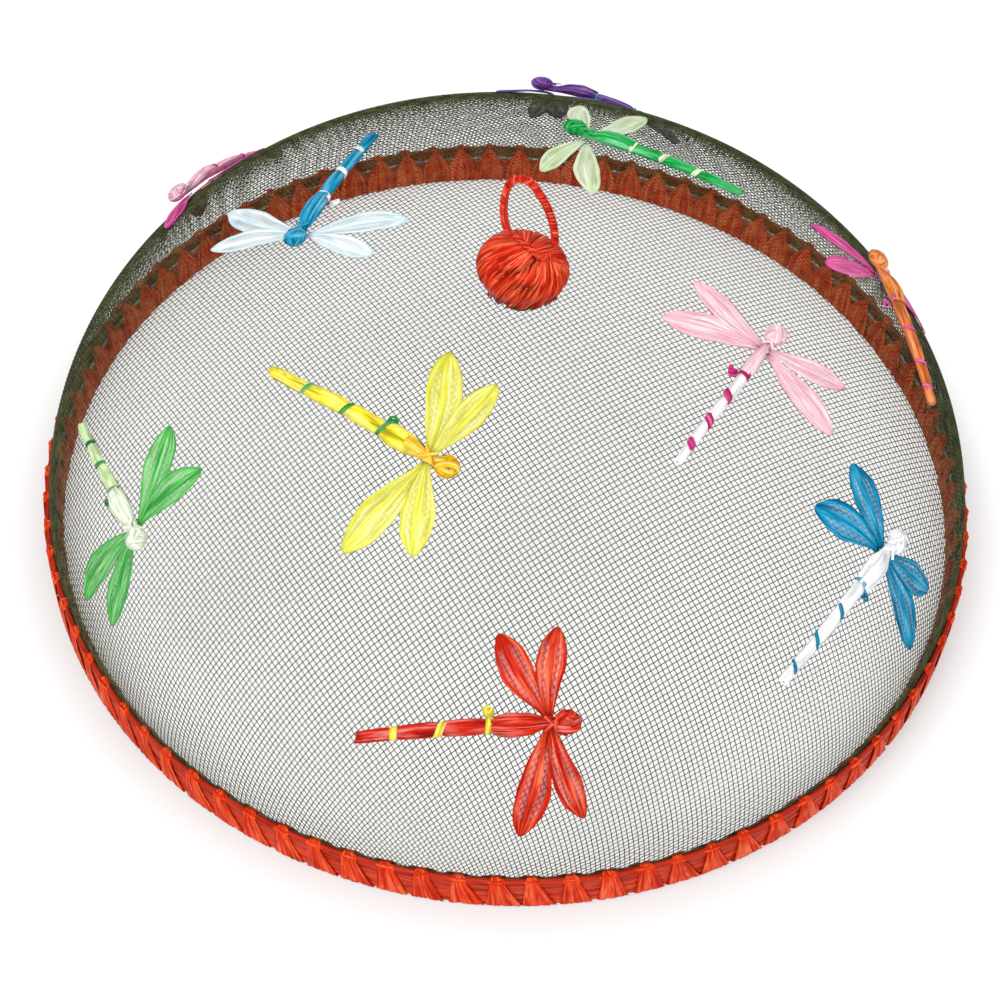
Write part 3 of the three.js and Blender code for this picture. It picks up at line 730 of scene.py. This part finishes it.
# The loop, as places across its feet and shares of its rise
HANDLE_SHARES = [
    (-1, 0), (-1.18, 0.24), (-1.22, 0.46), (-1.17, 0.7), (-0.98, 0.9), (-0.6, 1),
    (-0.2, 0.97), (0.18, 0.83), (0.54, 0.63), (0.8, 0.41), (0.94, 0.2), (1, 0),
]

# The ridge, as places across the loop's feet and shares of its bulge
RIDGE_SHARES = [(-0.6, 0.3), (-0.36, 0.56), (0, 0.8), (0.4, 1), (0.68, 0.94), (0.84, 0.62)]

# Azimuth round the ball where a strand ends, and the share of the ridge where it starts
STRAND_STARTS = [
    (150, 0.0), (180, 0.2), (210, 0.45), (240, 0.68), (270, 0.86), (300, 0.96), (330, 1.0),
    (365, 1.0), (390, 0.85), (420, 0.6), (450, 0.35), (480, 0.15), (510, 0.0),
]


def in_knob(points):
    """Points of the knob's own frame, in the model's."""
    x, y, z = np.moveaxis(points, -1, 0)
    return np.stack([*turned(x, y, KNOB_YAW), z + KNOB_CENTRE_Z], -1)


def turned_only(vectors):
    return in_knob(vectors) - in_knob(np.zeros(3))


def over_knob(x, y, lift):
    z = KNOB_HALF[2] * math.sqrt(max(0, 1 - (x / KNOB_HALF[0]) ** 2 - (y / KNOB_HALF[1]) ** 2))
    point = np.array([x, y, z])
    return point + lift * unit(point / KNOB_HALF**2)


def between_feet(across):
    """A point between the loop's feet, which are at -1 and 1."""
    places = (FOOT_SHIFT - FOOT_SPAN / 2, FOOT_SHIFT + FOOT_SPAN / 2)
    left, right = (over_knob(place, FOOT_BACK, FOOT_LIFT) for place in places)
    return left + (right - left) * (across + 1) / 2


def ridge_path(count, lift):
    points = []
    for across, forward in RIDGE_SHARES:
        foot = between_feet(across)
        points.append(over_knob(foot[0], foot[1] - forward * RIDGE_BULGE, lift))
    return smooth_path(points, count)


def slerp(a, b, t):
    angle = math.acos(float(np.clip(a @ b, -1, 1)))
    near, far = np.sin((1 - t) * angle), np.sin(t * angle)
    return (near[:, None] * a + far[:, None] * b) / math.sin(angle)


def knob_strip(build, path, across, normal, width, arch, depth, strip, tone=0.5):
    """A strip along a path in the knob's frame, arched over its width."""
    grid = path[:, None] + across[:, None] * (width * ACROSS)[..., None]
    grid = grid + normal[:, None] * (arch * ARCH)[:, None]
    normals = np.broadcast_to(normal[:, None], grid.shape)
    build.sheet(in_knob(grid), turned_only(normals), depth, strip, np.mean(width), tone)


def knob_cord(build, line, normal, radius, sides, strip):
    rings = tube_rings(in_knob(line), turned_only(normal), radius, sides)
    build.tube(rings, strip)


def crease(way):
    """How deep each point lies in the slanting crease across the front of the knob, or in
    the hollow below it, where the strands sink and take painted shade. Places and sizes are in
    degrees round and up the ball."""
    start, end, fade = 232, 325, 15
    azimuth = np.degrees(plan_polar(way)[1]) % 360
    height = np.degrees(np.arcsin(np.clip(way[..., 2], -1, 1)))
    slant, half = 28 + 0.48 * (azimuth - 248), 7
    front = np.clip((azimuth - start) / fade, 0, 1) * np.clip((end - azimuth) / fade, 0, 1)
    slot = front * np.exp(-(((height - slant) / half) ** 2))
    hollow = np.exp(-(((azimuth - 282) / 26) ** 2) - ((height - 8) / 10) ** 2)
    return np.maximum(slot, hollow)


def knob_strands(build, rng):
    """Strands laid from the ridge down over the ball to its ragged edge."""
    azimuths, starts = np.array(STRAND_STARTS, float).T
    first = azimuths[0]
    ridge = ridge_path(41, 0.0)
    slow, quick, _ = rng.uniform(0, 6, 3)
    steps = 17
    t = np.linspace(0, 1, steps)
    hang = np.clip((t - 0.84) / 0.16, 0, 1) ** 1.5
    for k in range(STRANDS):
        azimuth = first + 360 * (k + rng.uniform(-0.4, 0.4)) / STRANDS
        start = np.interp((azimuth - first) % 360 + first, azimuths, starts)
        start = np.clip(start + rng.normal(0, 0.03), 0, 1)
        top = unit(ridge[int(start * (len(ridge) - 1))] / KNOB_HALF)
        side = math.radians(azimuth)
        ragged = math.sin(side * 9 + slow) + math.sin(side * 17 + quick)
        down = math.radians(-47 + 3 * ragged + rng.uniform(-4, 4))
        way = slerp(top, polar(math.cos(down), side, math.sin(down)), t)
        layer = rng.uniform(-0.45, 0.12) * MM
        fold = 0.7 * MM * np.exp(-((t / 0.1) ** 2))
        deep = crease(way)
        lift = layer + fold + wander(rng, steps, 0.12 * MM) - 1.3 * MM * deep
        normal = unit(way / KNOB_HALF)
        path = way * KNOB_HALF + normal * lift[:, None]
        path[:, :2] += polar(rng.uniform(0.0, 1.6) * MM * hang, side)
        path[:, 2] -= rng.uniform(0.6, 2.2) * MM * hang
        path[:, 2] = np.maximum(path[:, 2], 0.25 * MM - KNOB_FOOT)
        across = unit(np.cross(normal, unit(np.gradient(path, axis=0))))
        width = rng.uniform(0.8, 1.3) * MM * (0.62 + 0.5 * np.sin(math.pi * np.clip(t, 0, 0.8)))
        # Tone turns a strand towards the knob's dark second colour: painted shade in the crease,
        # the hollow and on strands lying lower, and darker tips.
        tone = np.clip(1.1 * deep - 500 * layer + 0.35 * (t > 0.9) - 0.05, 0, 1)
        width, tone = width[:, None], tone[:, None]
        knob_strip(build, path, across, normal, width, 0.1 * MM, 0.16 * MM, k * 1.37, tone)


def knob_ball(build, rng):
    """The bundle under the strands: an oval ball with pleats, drawn in at its foot."""
    down = np.radians(np.linspace(88, -64, 22))[:, None]
    around = circle(72)
    pleats = ripple(rng, around, (7, 11, 17, 23)) / 3
    inset = 1.3 * MM + 0.25 * MM * pleats * np.cos(down)
    ball = polar(np.cos(down), around, np.sin(down)) * (KNOB_HALF - inset[..., None])
    # Tone 1 gives the ball the knob's dark second colour: painted shade under the strands.
    build.tube(in_knob(ball), 400.0, 1.0)


def knob_bundle(material):
    build = Build()
    rng = np.random.default_rng(17)
    knob_ball(build, rng)
    knob_strands(build, rng)
    build.finish("knob_bundle", material, "knob_wrap", "knob_raffia")


def ridge_cord(material):
    """The cord over the front of the knob: two plies wound round each other."""
    build = Build()
    steps = 40
    path = ridge_path(steps, 1.9 * MM)
    normal = unit(path / KNOB_HALF**2)
    side = unit(np.cross(unit(np.gradient(path, axis=0)), normal))
    for ply in range(2):
        twist = np.linspace(0, 9 * math.pi, steps)[:, None] + ply * math.pi
        line = path + 0.5 * MM * (np.cos(twist) * side + np.sin(twist) * normal)
        knob_cord(build, line, normal, 0.66 * MM, 8, 40.0 + ply)
    build.finish("knob_ridge_cord", material, "knob_ridge", "knob_raffia")


def loop_handle(material):
    """The loop: two cords and a core under strips that cross over it from both sides."""
    points = [between_feet(across) + [0, 0, up * HANDLE_RISE] for across, up in HANDLE_SHARES]
    count = 90
    path = smooth_path(points, count)
    front = np.broadcast_to([0.0, -1.0, 0.0], path.shape)
    tangent = unit(np.gradient(path, axis=0))
    outward = unit(np.cross(front, tangent))
    build = Build()
    rng = np.random.default_rng(21)
    for side in (-1, 1):
        line = path + front * side * 0.62 * MM - outward * 0.45 * MM
        knob_cord(build, line, outward, 0.72 * MM, 10, 50.0 + side)
    knob_cord(build, path + outward * 0.2 * MM, outward, 0.85 * MM, 8, 54.0)
    steps = 8
    turn = (np.linspace(-0.15, 1, steps) * math.radians(118))[:, None]
    marks = np.arange(count)
    for whip in range(WHIPS):
        for side in (-1, 1):
            at = (whip + 0.9 - 0.85 * np.linspace(0, 1, steps)) / (WHIPS + 0.4) * (count - 1)
            at = np.clip(at + rng.normal(0, 0.08), 0, count - 1)
            centre, out, along = (between(at, marks, v) for v in (path, outward, tangent))
            normal = np.cos(turn) * unit(out) + side * np.sin(turn) * front[:steps]
            middle = centre + normal * (1.12 + 0.14 * np.cos(turn)) * MM
            number = whip * 2.3 + side
            knob_strip(build, middle, unit(along), normal, 1.15 * MM, 0.3 * MM, 0.2 * MM, number)
    build.finish("loop_handle_plait", material, "loop_handle", "knob_raffia", "handle")


# The knob's second colour, 600a03, is painted shade, laid on by the strands' tone and over the
# ball.
knob_bundle(raffia("knob_raffia_red", "e22c10", "8a0f05", "ff8458", second="600a03", rough=0.34))
loop_red = raffia("loop_raffia_red", "e4301c", "880e07", "ff8a6c", rough=0.34)
ridge_cord(loop_red)
loop_handle(loop_red)
dress("knob_core", band_raffia("knob_wadding_red", "b02a16", "5c120a", "d8583c"))
dress("knob_anchor", band_raffia("knob_button_red", "c6301a", "6e150a", "ea6440"))


# Dragonflies. A body's section is an oval of this flatness, whose lowest point lies at BELLY.
TAIL = 62 * MM
BODY_HALF = 4.2 * MM
FLATNESS = 0.62
BELLY = 1.9 * MM

# The body's half width along it, as shares of the tail's length and of BODY_HALF
BODY_SHARES = [
    (-1.0, 0.44), (-0.97, 0.5), (-0.68, 0.62), (-0.42, 0.68), (-0.34, 0.64), (-0.2, 0.9),
    (-0.1, 0.78), (-0.03, 0.44), (0.05, 0.4),
]

# Where a slim dragonfly's share of the tail's width passes into that of the thorax
SLIM_CHANGE = (-0.36, -0.24)

# A wing's width along it, and for each pair its full width, then how high tips and roots lie
WING_SWELL = [(0, 0.2), (0.1, 0.28), (0.3, 0.68), (0.56, 1), (0.78, 0.88), (0.93, 0.54), (1, 0.24)]
WING_PAIRS = {"hind": (12.5 * MM, 0.1 * MM, 0.1 * MM), "fore": (11 * MM, 0.15 * MM, 0.85 * MM)}

# For each, place: azimuth, share of the meridian and heading. fore and hind: each wing's
# angle and length. wings: their colour, its dark and its pale tone. wide: their width as a
# share. body: the colours of tail and front. change: the share of the tail where the front
# starts. tie: its colour and width, then its turns as shares of the tail, each with its
# slant. side: the side of its knot, random where none is given. reach: the tail's length
# as a share. slim: the widths of tail and thorax as shares. nose: how far the head stands
# forward. Lengths are in millimetres.
FLIES = {
    "yellow": dict(
        place=(-111.2, 0.318, 79), fore=[(86, 36), (-63, 34)], hind=[(116, 42), (-97, 42)],
        wings=("f0ee58", "c6c436", "fefcc0"), wide=1.0, body=("f8e22a", "fdb614"), change=0.13,
        tie=("1a9440", 1.4, [(0.27, 7), (0.5, 8), (0.76, 7)]), reach=1.05, nose=2.5,
    ),
    "red": dict(
        place=(-83.1, 0.657, 90), fore=[(83, 30), (-71, 37)], hind=[(118, 32), (-104, 43)],
        wings=("dc2c10", "961006", "ff8454"), wide=0.9, body=("cc200c", "d8280e"),
        tie=("f0e040", 2.4, [(0.31, 2.5), (0.56, 9), (0.8, 2)]), side=1, slim=(0.92, 1),
    ),
    "blue": dict(
        place=(158.8, 0.362, 93), fore=[(81, 30), (-75, 37)], hind=[(115, 38), (-107, 41)],
        wings=("f6fafb", "c0dfe8", "ffffff"), wide=0.9, body=("0a92bc", "0e9aca"),
        tie=("f8fcfc", 2.2, [(0.3, 4), (0.55, 7), (0.8, 7)]),
    ),
    "green": dict(
        place=(77, 0.408, 82), fore=[(79, 32), (-66, 36)], hind=[(114, 39), (-104, 43)],
        wings=("eef8dc", "bcd898", "ffffff"), wide=0.85, body=("0eae48", "12b850"),
        tie=("e6f8cc", 2.0, [(0.3, 4), (0.5, 7), (0.72, 7)]),
    ),
    "pink": dict(
        place=(-6.3, 0.37, 66), fore=[(76, 36), (-70, 32)], hind=[(112, 38), (-107, 38)],
        wings=("fcd2da", "f0a2b4", "ffffff"), wide=0.95, body=("fdf4f5", "f6b2c2"), change=0.28,
        tie=("cc2274", 2.9, [(0.28, 3), (0.48, 11), (0.68, 11), (0.87, 10)]), slim=(0.7, 0.66),
    ),
    "white": dict(
        place=(-29.3, 0.655, 85), fore=[(62, 32), (-62, 31)], hind=[(108, 30), (-97, 40)],
        wings=("0098ca", "035276", "60d0f2"), wide=1.02, body=("f8fcfc", "fbfefe"),
        tie=("0c84b0", 1.4, [(0.29, 3), (0.5, 13), (0.72, 13), (0.91, 8)]), slim=(0.86, 1),
    ),
    "lime": dict(
        place=(-146.8, 0.662, 88), fore=[(94, 30), (-65, 37)], hind=[(131, 37), (-96, 41)],
        wings=("5cc45c", "268c34", "b4e8a4"), wide=1.0, body=("d2ecae", "fbfef2"),
        tie=("147c3c", 1.4, [(0.31, 3), (0.56, 4), (0.78, 4)]), side=-1, reach=0.87, slim=(0.8, 1),
    ),
    "orange": dict(
        place=(22.4, 0.639, 82.5), fore=[(50, 31), (-60, 34)], hind=[(97, 27), (-100, 38)],
        wings=("f268b0", "c83486", "ffa6d4"), wide=0.9, body=("f8823c", "fb9848"),
        tie=("e85cb0", 1.4, [(0.28, 4), (0.5, 4), (0.74, 6), (0.9, 4)]),
    ),
    "magenta": dict(
        place=(145.8, 0.727, 105), fore=[(22, 34), (-93, 34)], hind=[(158, 38), (-133, 40)],
        wings=("e24098", "a01c6c", "ff8cc8"), wide=0.85, body=("ffa6cc", "ffd4e2"),
        tie=("d03090", 1.2, [(0.3, 3), (0.6, 6), (0.85, 6)]),
    ),
    "purple": dict(
        place=(86.9, 0.701, 112), fore=[(22, 30), (-95, 33)], hind=[(158, 38), (-118, 30)],
        wings=("7c4cae", "3c1e78", "a484e0"), wide=0.85, body=("74409c", "8048a8"),
        tie=("35a4b6", 1.2, [(0.3, 3), (0.6, 6), (0.85, 6)]),
    ),
}


class Place:
    """A dragonfly's own frame laid on the dome, x forward from the wing roots and y left,
    with its name, its facts and its random numbers."""

    def __init__(self, name, fly, seed):
        self.name, self.fly = name, fly
        self.rng = np.random.default_rng(seed)
        azimuth, share, heading = fly["place"]
        self.tail = fly.get("reach", 1.0) * TAIL
        self.nose = fly.get("nose", 0.0) * MM
        self.slim = fly.get("slim", (1.0, 1.0))
        self.arc = share * MERIDIAN
        self.azimuth = math.radians(azimuth)
        self.heading = math.radians(heading)
        self.spread = self.arc / float(outline(self.arc)[0])

    def plan(self, x, y):
        down, aside = turned(x, y, self.heading)
        down, aside = self.arc + down, aside * self.spread
        return polar(np.hypot(down, aside), self.azimuth + np.arctan2(aside, down))

    def half(self, x):
        """Half width of the body at places along it."""
        full = np.interp(x / self.tail, *np.array(BODY_SHARES).T)
        return full * np.interp(x / self.tail, SLIM_CHANGE, self.slim) * BODY_HALF

    def point(self, x, y, lift):
        return on_dome(self.plan(x, y), SKIN + lift)

    def normal(self, x, y):
        return dome_normal(self.plan(x, y))


def finish_fly(build, place, part, slot, material):
    node = f"{place.name}_dragonfly_{part}"
    build.finish(f"{node}_raffia", material, node, f"{place.name}_{slot}")


def wing(build, place, degrees, length, width, low, high):
    """One wing: a raffia loop pressed flat, thin between its rolled edges and its midrib."""
    rng = place.rng
    strip = rng.uniform(0, 90)
    v = np.linspace(0, 1, 26)[:, None]
    u = np.linspace(-1, 1, 17)[None]
    size = width / 2 * rng.uniform(0.92, 1.08)
    swell = np.interp(v[:, 0], *np.array(WING_SWELL).T)
    swell = np.convolve(np.pad(swell, 1, mode="edge"), [0.25, 0.5, 0.25], "valid")[:, None]
    curve = rng.uniform(-0.05, 0.05) * length * np.sin(math.pi * v)
    edge = 1 + 0.05 * np.sin(9 * v + rng.uniform(0, 6)) * np.sign(u)
    reach = (0.04 + 0.96 * v) * length * (1 - 0.03 * u**2 * v**4)
    x, y = turned(reach, u * size * swell * edge + curve, math.radians(degrees))
    pleats = ripple(rng, math.pi * u / 2, (5, 8, 11, 15), np.cos)
    rolled = np.exp(-(((np.abs(u) - 0.92) / 0.14) ** 2))
    rib = np.exp(-((u / 0.16) ** 2))
    open_part = (1 - rolled) * (1 - rib)
    woven = np.sin(2 * math.pi * reach / WIRE_PITCH)
    thick = 0.34 * rolled + 0.3 * rib + 0.09 * pleats + 0.05 * woven * open_part
    base = high + (low - high) * np.clip((v - 0.14) / 0.6, 0, 1)
    narrow = np.clip(swell * 1.2, 0.3, 1)
    bend = 0.3 * MM * np.sin(math.pi * v) * rng.uniform(-0.2, 1)
    grid = place.point(x, y, base + (0.28 + thick * narrow) * MM + bend)
    thin = open_part * np.clip(np.sin(math.pi * v) * 1.6, 0, 1)
    tone = np.clip(0.35 + 0.65 * thin, 0, 1)
    depth = (0.16 + 0.35 * rolled) * MM * np.ones_like(v)
    build.sheet(grid, place.normal(x, y), depth[..., None], strip, width * 0.8, tone)


def wings(place, pair, material):
    build = Build()
    width, low, high = WING_PAIRS[pair]
    for degrees, length in place.fly[pair]:
        wing(build, place, degrees, length * MM, width * place.fly["wide"], low, high)
    finish_fly(build, place, f"{pair}wings", "wings", material)


def dragonfly_body(place, material):
    """Tail and thorax as one lobed tube, drawn in at the ties, with loose strands and a head."""
    build = Build()
    rng = place.rng
    change = place.fly.get("change", 0.3)
    front = np.linspace(-0.04 * place.tail, 0.05 * place.tail + place.nose, 8)
    x = np.append(np.linspace(-place.tail, -0.05 * place.tail, 54), front)[:, None]
    bound = -np.array([share for share, _ in place.fly["tie"][2]]) * place.tail
    drawn = np.exp(-(((x - bound) / (1.6 * MM)) ** 2)).sum(1)
    half = place.half(x) * (1 - 0.2 * drawn)[:, None]
    angle = circle(24)
    twist = x * rng.uniform(-25, 25)
    ninefold = 0.06 * np.sin(9 * (angle + twist) + rng.uniform(0, 6))
    fivefold = 0.05 * np.sin(5 * (angle - twist) + rng.uniform(0, 6))
    lobes = (1 + ninefold + fivefold) * (1 + wander(rng, len(x), 0.02)[:, None])
    y = half * np.cos(angle) * lobes + wander(rng, len(x), 0.25 * MM)[:, None]
    lift = BELLY + half * FLATNESS * (1 + np.sin(angle) * lobes)
    tone = np.clip((x / place.tail + change) / 0.1, 0, 1)
    build.tube(place.point(x, y, lift), rng.uniform(0, 90), tone)
    strands(build, place, change)
    head(build, place)
    finish_fly(build, place, "body", "body", material)


def strands(build, place, change):
    """Loose strands along the thorax, at the cut end of the tail and crossed on the neck."""
    rng = place.rng
    for k in range(7):
        x = np.linspace(-change * place.tail, 0.04 * place.tail + place.nose, 12)
        across = rng.uniform(-0.75, 0.75)
        half = place.half(x)
        lift = BELLY + half * FLATNESS * (1 + np.sqrt(1 - across**2)) + 0.06 * MM
        ribbon(build, place, x, across * half, lift, rng.uniform(0.9, 1.5) * MM, k * 3.3, 1.0)
    for k in range(5):
        x = np.linspace(-0.9 * place.tail, (-1.0 - rng.uniform(0.0, 0.022)) * place.tail, 6)
        across = rng.uniform(-0.8, 0.8)
        half = place.half(np.maximum(x, -place.tail))
        y = across * half * np.linspace(1, 1.15, 6)
        lift = half * FLATNESS * (1 + 0.9 * math.sqrt(1 - across**2)) * np.linspace(1, 0.9, 6)
        ribbon(build, place, x, y, BELLY + lift, rng.uniform(0.6, 1.1) * MM, k * 5.1, 0.0)
    for way in (-1, 1):
        x = np.linspace(-0.03, 0.05, 9) * place.tail
        y = way * np.linspace(-2.4, 2.1, 9) * MM
        half = np.maximum(place.half(x), 2.6 * MM)
        lift = BELLY + half * FLATNESS * 2 - 0.12 * np.abs(y) + 0.25 * MM
        ribbon(build, place, x, y, lift, 1.2 * MM, 60 + way, 1.0)


def ribbon(build, place, x, y, lift, width, strip, tone):
    """A narrow raffia strip along a line in the dragonfly's frame."""
    run = unit(np.stack([np.gradient(x), np.gradient(y)], -1))
    px = x[:, None] - run[:, 1:] * ACROSS * width
    py = y[:, None] + run[:, :1] * ACROSS * width
    grid = place.point(px, py, lift[:, None] + 0.15 * MM * ARCH)
    build.sheet(grid, place.normal(px, py), 0.16 * MM, strip, width, tone)


def layer(build, place, top, under, strip, width, tone=0.5):
    """A sheet between two grids of points in the dragonfly's frame."""
    top, under = (place.point(*np.moveaxis(grid, -1, 0)) for grid in (top, under))
    depth = np.linalg.norm(top - under, axis=-1, keepdims=True)
    build.sheet(top, unit(top - under), depth, strip, width, tone)


def head(build, place):
    """The head: a knot of strips wound over one another in several directions."""
    rng = place.rng
    centre = np.array([0.084 * TAIL + place.nose, 0, BELLY + BODY_HALF * FLATNESS])
    half = np.array([4.3, 4.0, 2.6]) * MM
    down = np.radians(np.linspace(86, -86, 11))[:, None]
    direction = np.roll(polar(np.cos(down), circle(20), np.sin(down)), 1, -1)
    ball = centre + direction * half * 0.9
    build.tube(place.point(*np.moveaxis(ball, -1, 0)), 77.0, 1.0)
    for k in range(9):
        pole = unit(rng.normal(0, 1, 3) * [0.8, 1, 0.6])
        first = unit(np.cross(pole, [0.3, 0.2, 1.0]))
        second = np.cross(pole, first)
        turn = (np.linspace(0, rng.uniform(3.6, 5.6), 18) + rng.uniform(0, 6))[:, None]
        offset = rng.uniform(-0.45, 0.45)
        way = math.sqrt(1 - offset**2) * (np.cos(turn) * first + np.sin(turn) * second)
        way = way + offset * pole
        spread = unit(way[:, None] + pole * (ACROSS * rng.uniform(0.45, 0.7))[:, None])
        reach = 0.95 + rng.uniform(0, 0.1) + 0.05 * ARCH
        shape = centre + spread * half * reach[:, None]
        under = shape - unit(spread / half) * 0.18 * MM
        layer(build, place, shape, under, k * 2.9, 2.2 * MM, 1.0)


def tie_strip(place, material):
    """The tie: a strip that rings the tail at each of its ties and runs under it between
    them, with a small knot where it starts."""
    rng = place.rng
    side = place.fly.get("side", rng.choice([-1, 1]))
    width, ties = place.fly["tie"][1] * MM, place.fly["tie"][2]
    fine = np.linspace(0.24 * place.tail, 0.95 * place.tail, 900)
    turn = np.full(len(fine), -math.pi / 2)
    for share, slant in ties:
        ramp = np.clip((fine - share * place.tail) / (slant * MM) + 0.5, 0, 1)
        turn = turn + 2 * math.pi * ramp * ramp * (3 - 2 * ramp)
    walk = np.append(0, np.cumsum(np.hypot(np.diff(fine), 3 * MM * np.diff(turn))))
    even = np.linspace(0, walk[-1], 30 * len(ties) + 20)
    x = -np.interp(even, walk, fine)
    turn = np.interp(even, walk, turn)
    half = place.half(x) * 0.84 + 0.15 * MM
    slope = np.gradient(x) / np.hypot(np.gradient(x), half * np.gradient(turn))
    x, turn, half, slope = (v[:, None] for v in (x, turn, half, slope))
    middle = BELLY + place.half(x) * FLATNESS
    u = np.linspace(-0.5, 0.5, 5)
    px = x + u * width * np.sqrt(1 - slope**2)
    lean = turn - u * width * slope / half
    reach = half + 0.16 * MM * (1 - (2 * u) ** 2) + 0.1 * MM
    py = reach * np.cos(lean)
    lift = np.maximum(middle + reach * FLATNESS * 1.08 * np.sin(lean), 0.3 * MM)
    depth = 0.2 * MM
    under = np.stack([px, py - depth * np.cos(lean), lift - depth * np.sin(lean)], -1)
    build = Build()
    layer(build, place, np.stack([px, py, lift], -1), under, rng.uniform(0, 90), width)
    knot(build, place, -ties[0][0] * place.tail, width, side)
    finish_fly(build, place, "tie", "tie", material)


def knot(build, place, x, width, side):
    """Loops of the tie, drawn tight beside the tail."""
    rng = place.rng
    for k in range(3):
        turn = np.linspace(0, 4.6, 12) + rng.uniform(0, 6)
        size = rng.uniform(0.8, 1.6) * MM
        px = x + size * np.cos(turn)
        py = side * (3.6 * MM + size * np.sin(turn) + 0.5 * MM * k)
        lift = (1.0 + 0.5 * k + 0.3 * np.sin(turn * 1.7)) * MM
        ribbon(build, place, px, py, lift, 0.5 * MM + 0.3 * width, k + 5.0, 0.5)


def shades(code, dark):
    """A darker and a paler tone of a colour. Whitish colours darken less."""
    rgb, pale = channels(code), 0.45
    dark += (1 - dark) * 0.55 * min(rgb) / 255
    tones = [c * dark for c in rgb], [c + (255 - c) * pale for c in rgb]
    return ["".join(f"{int(c):02x}" for c in tone) for tone in tones]


for index, (name, fly) in enumerate(FLIES.items()):
    place = Place(name, fly, 100 + index)
    tail, front = fly["body"]
    tie = fly["tie"][0]
    wing_raffia = raffia(f"{name}_wing_raffia", *fly["wings"], clear=0.5)
    body_raffia = raffia(f"{name}_body_raffia", tail, *shades(tail, 0.56), second=front)
    tie_raffia = raffia(f"{name}_tie_raffia", tie, *shades(tie, 0.62))
    for pair in ("hind", "fore"):
        wings(place, pair, wing_raffia)
    dragonfly_body(place, body_raffia)
    tie_strip(place, tie_raffia)
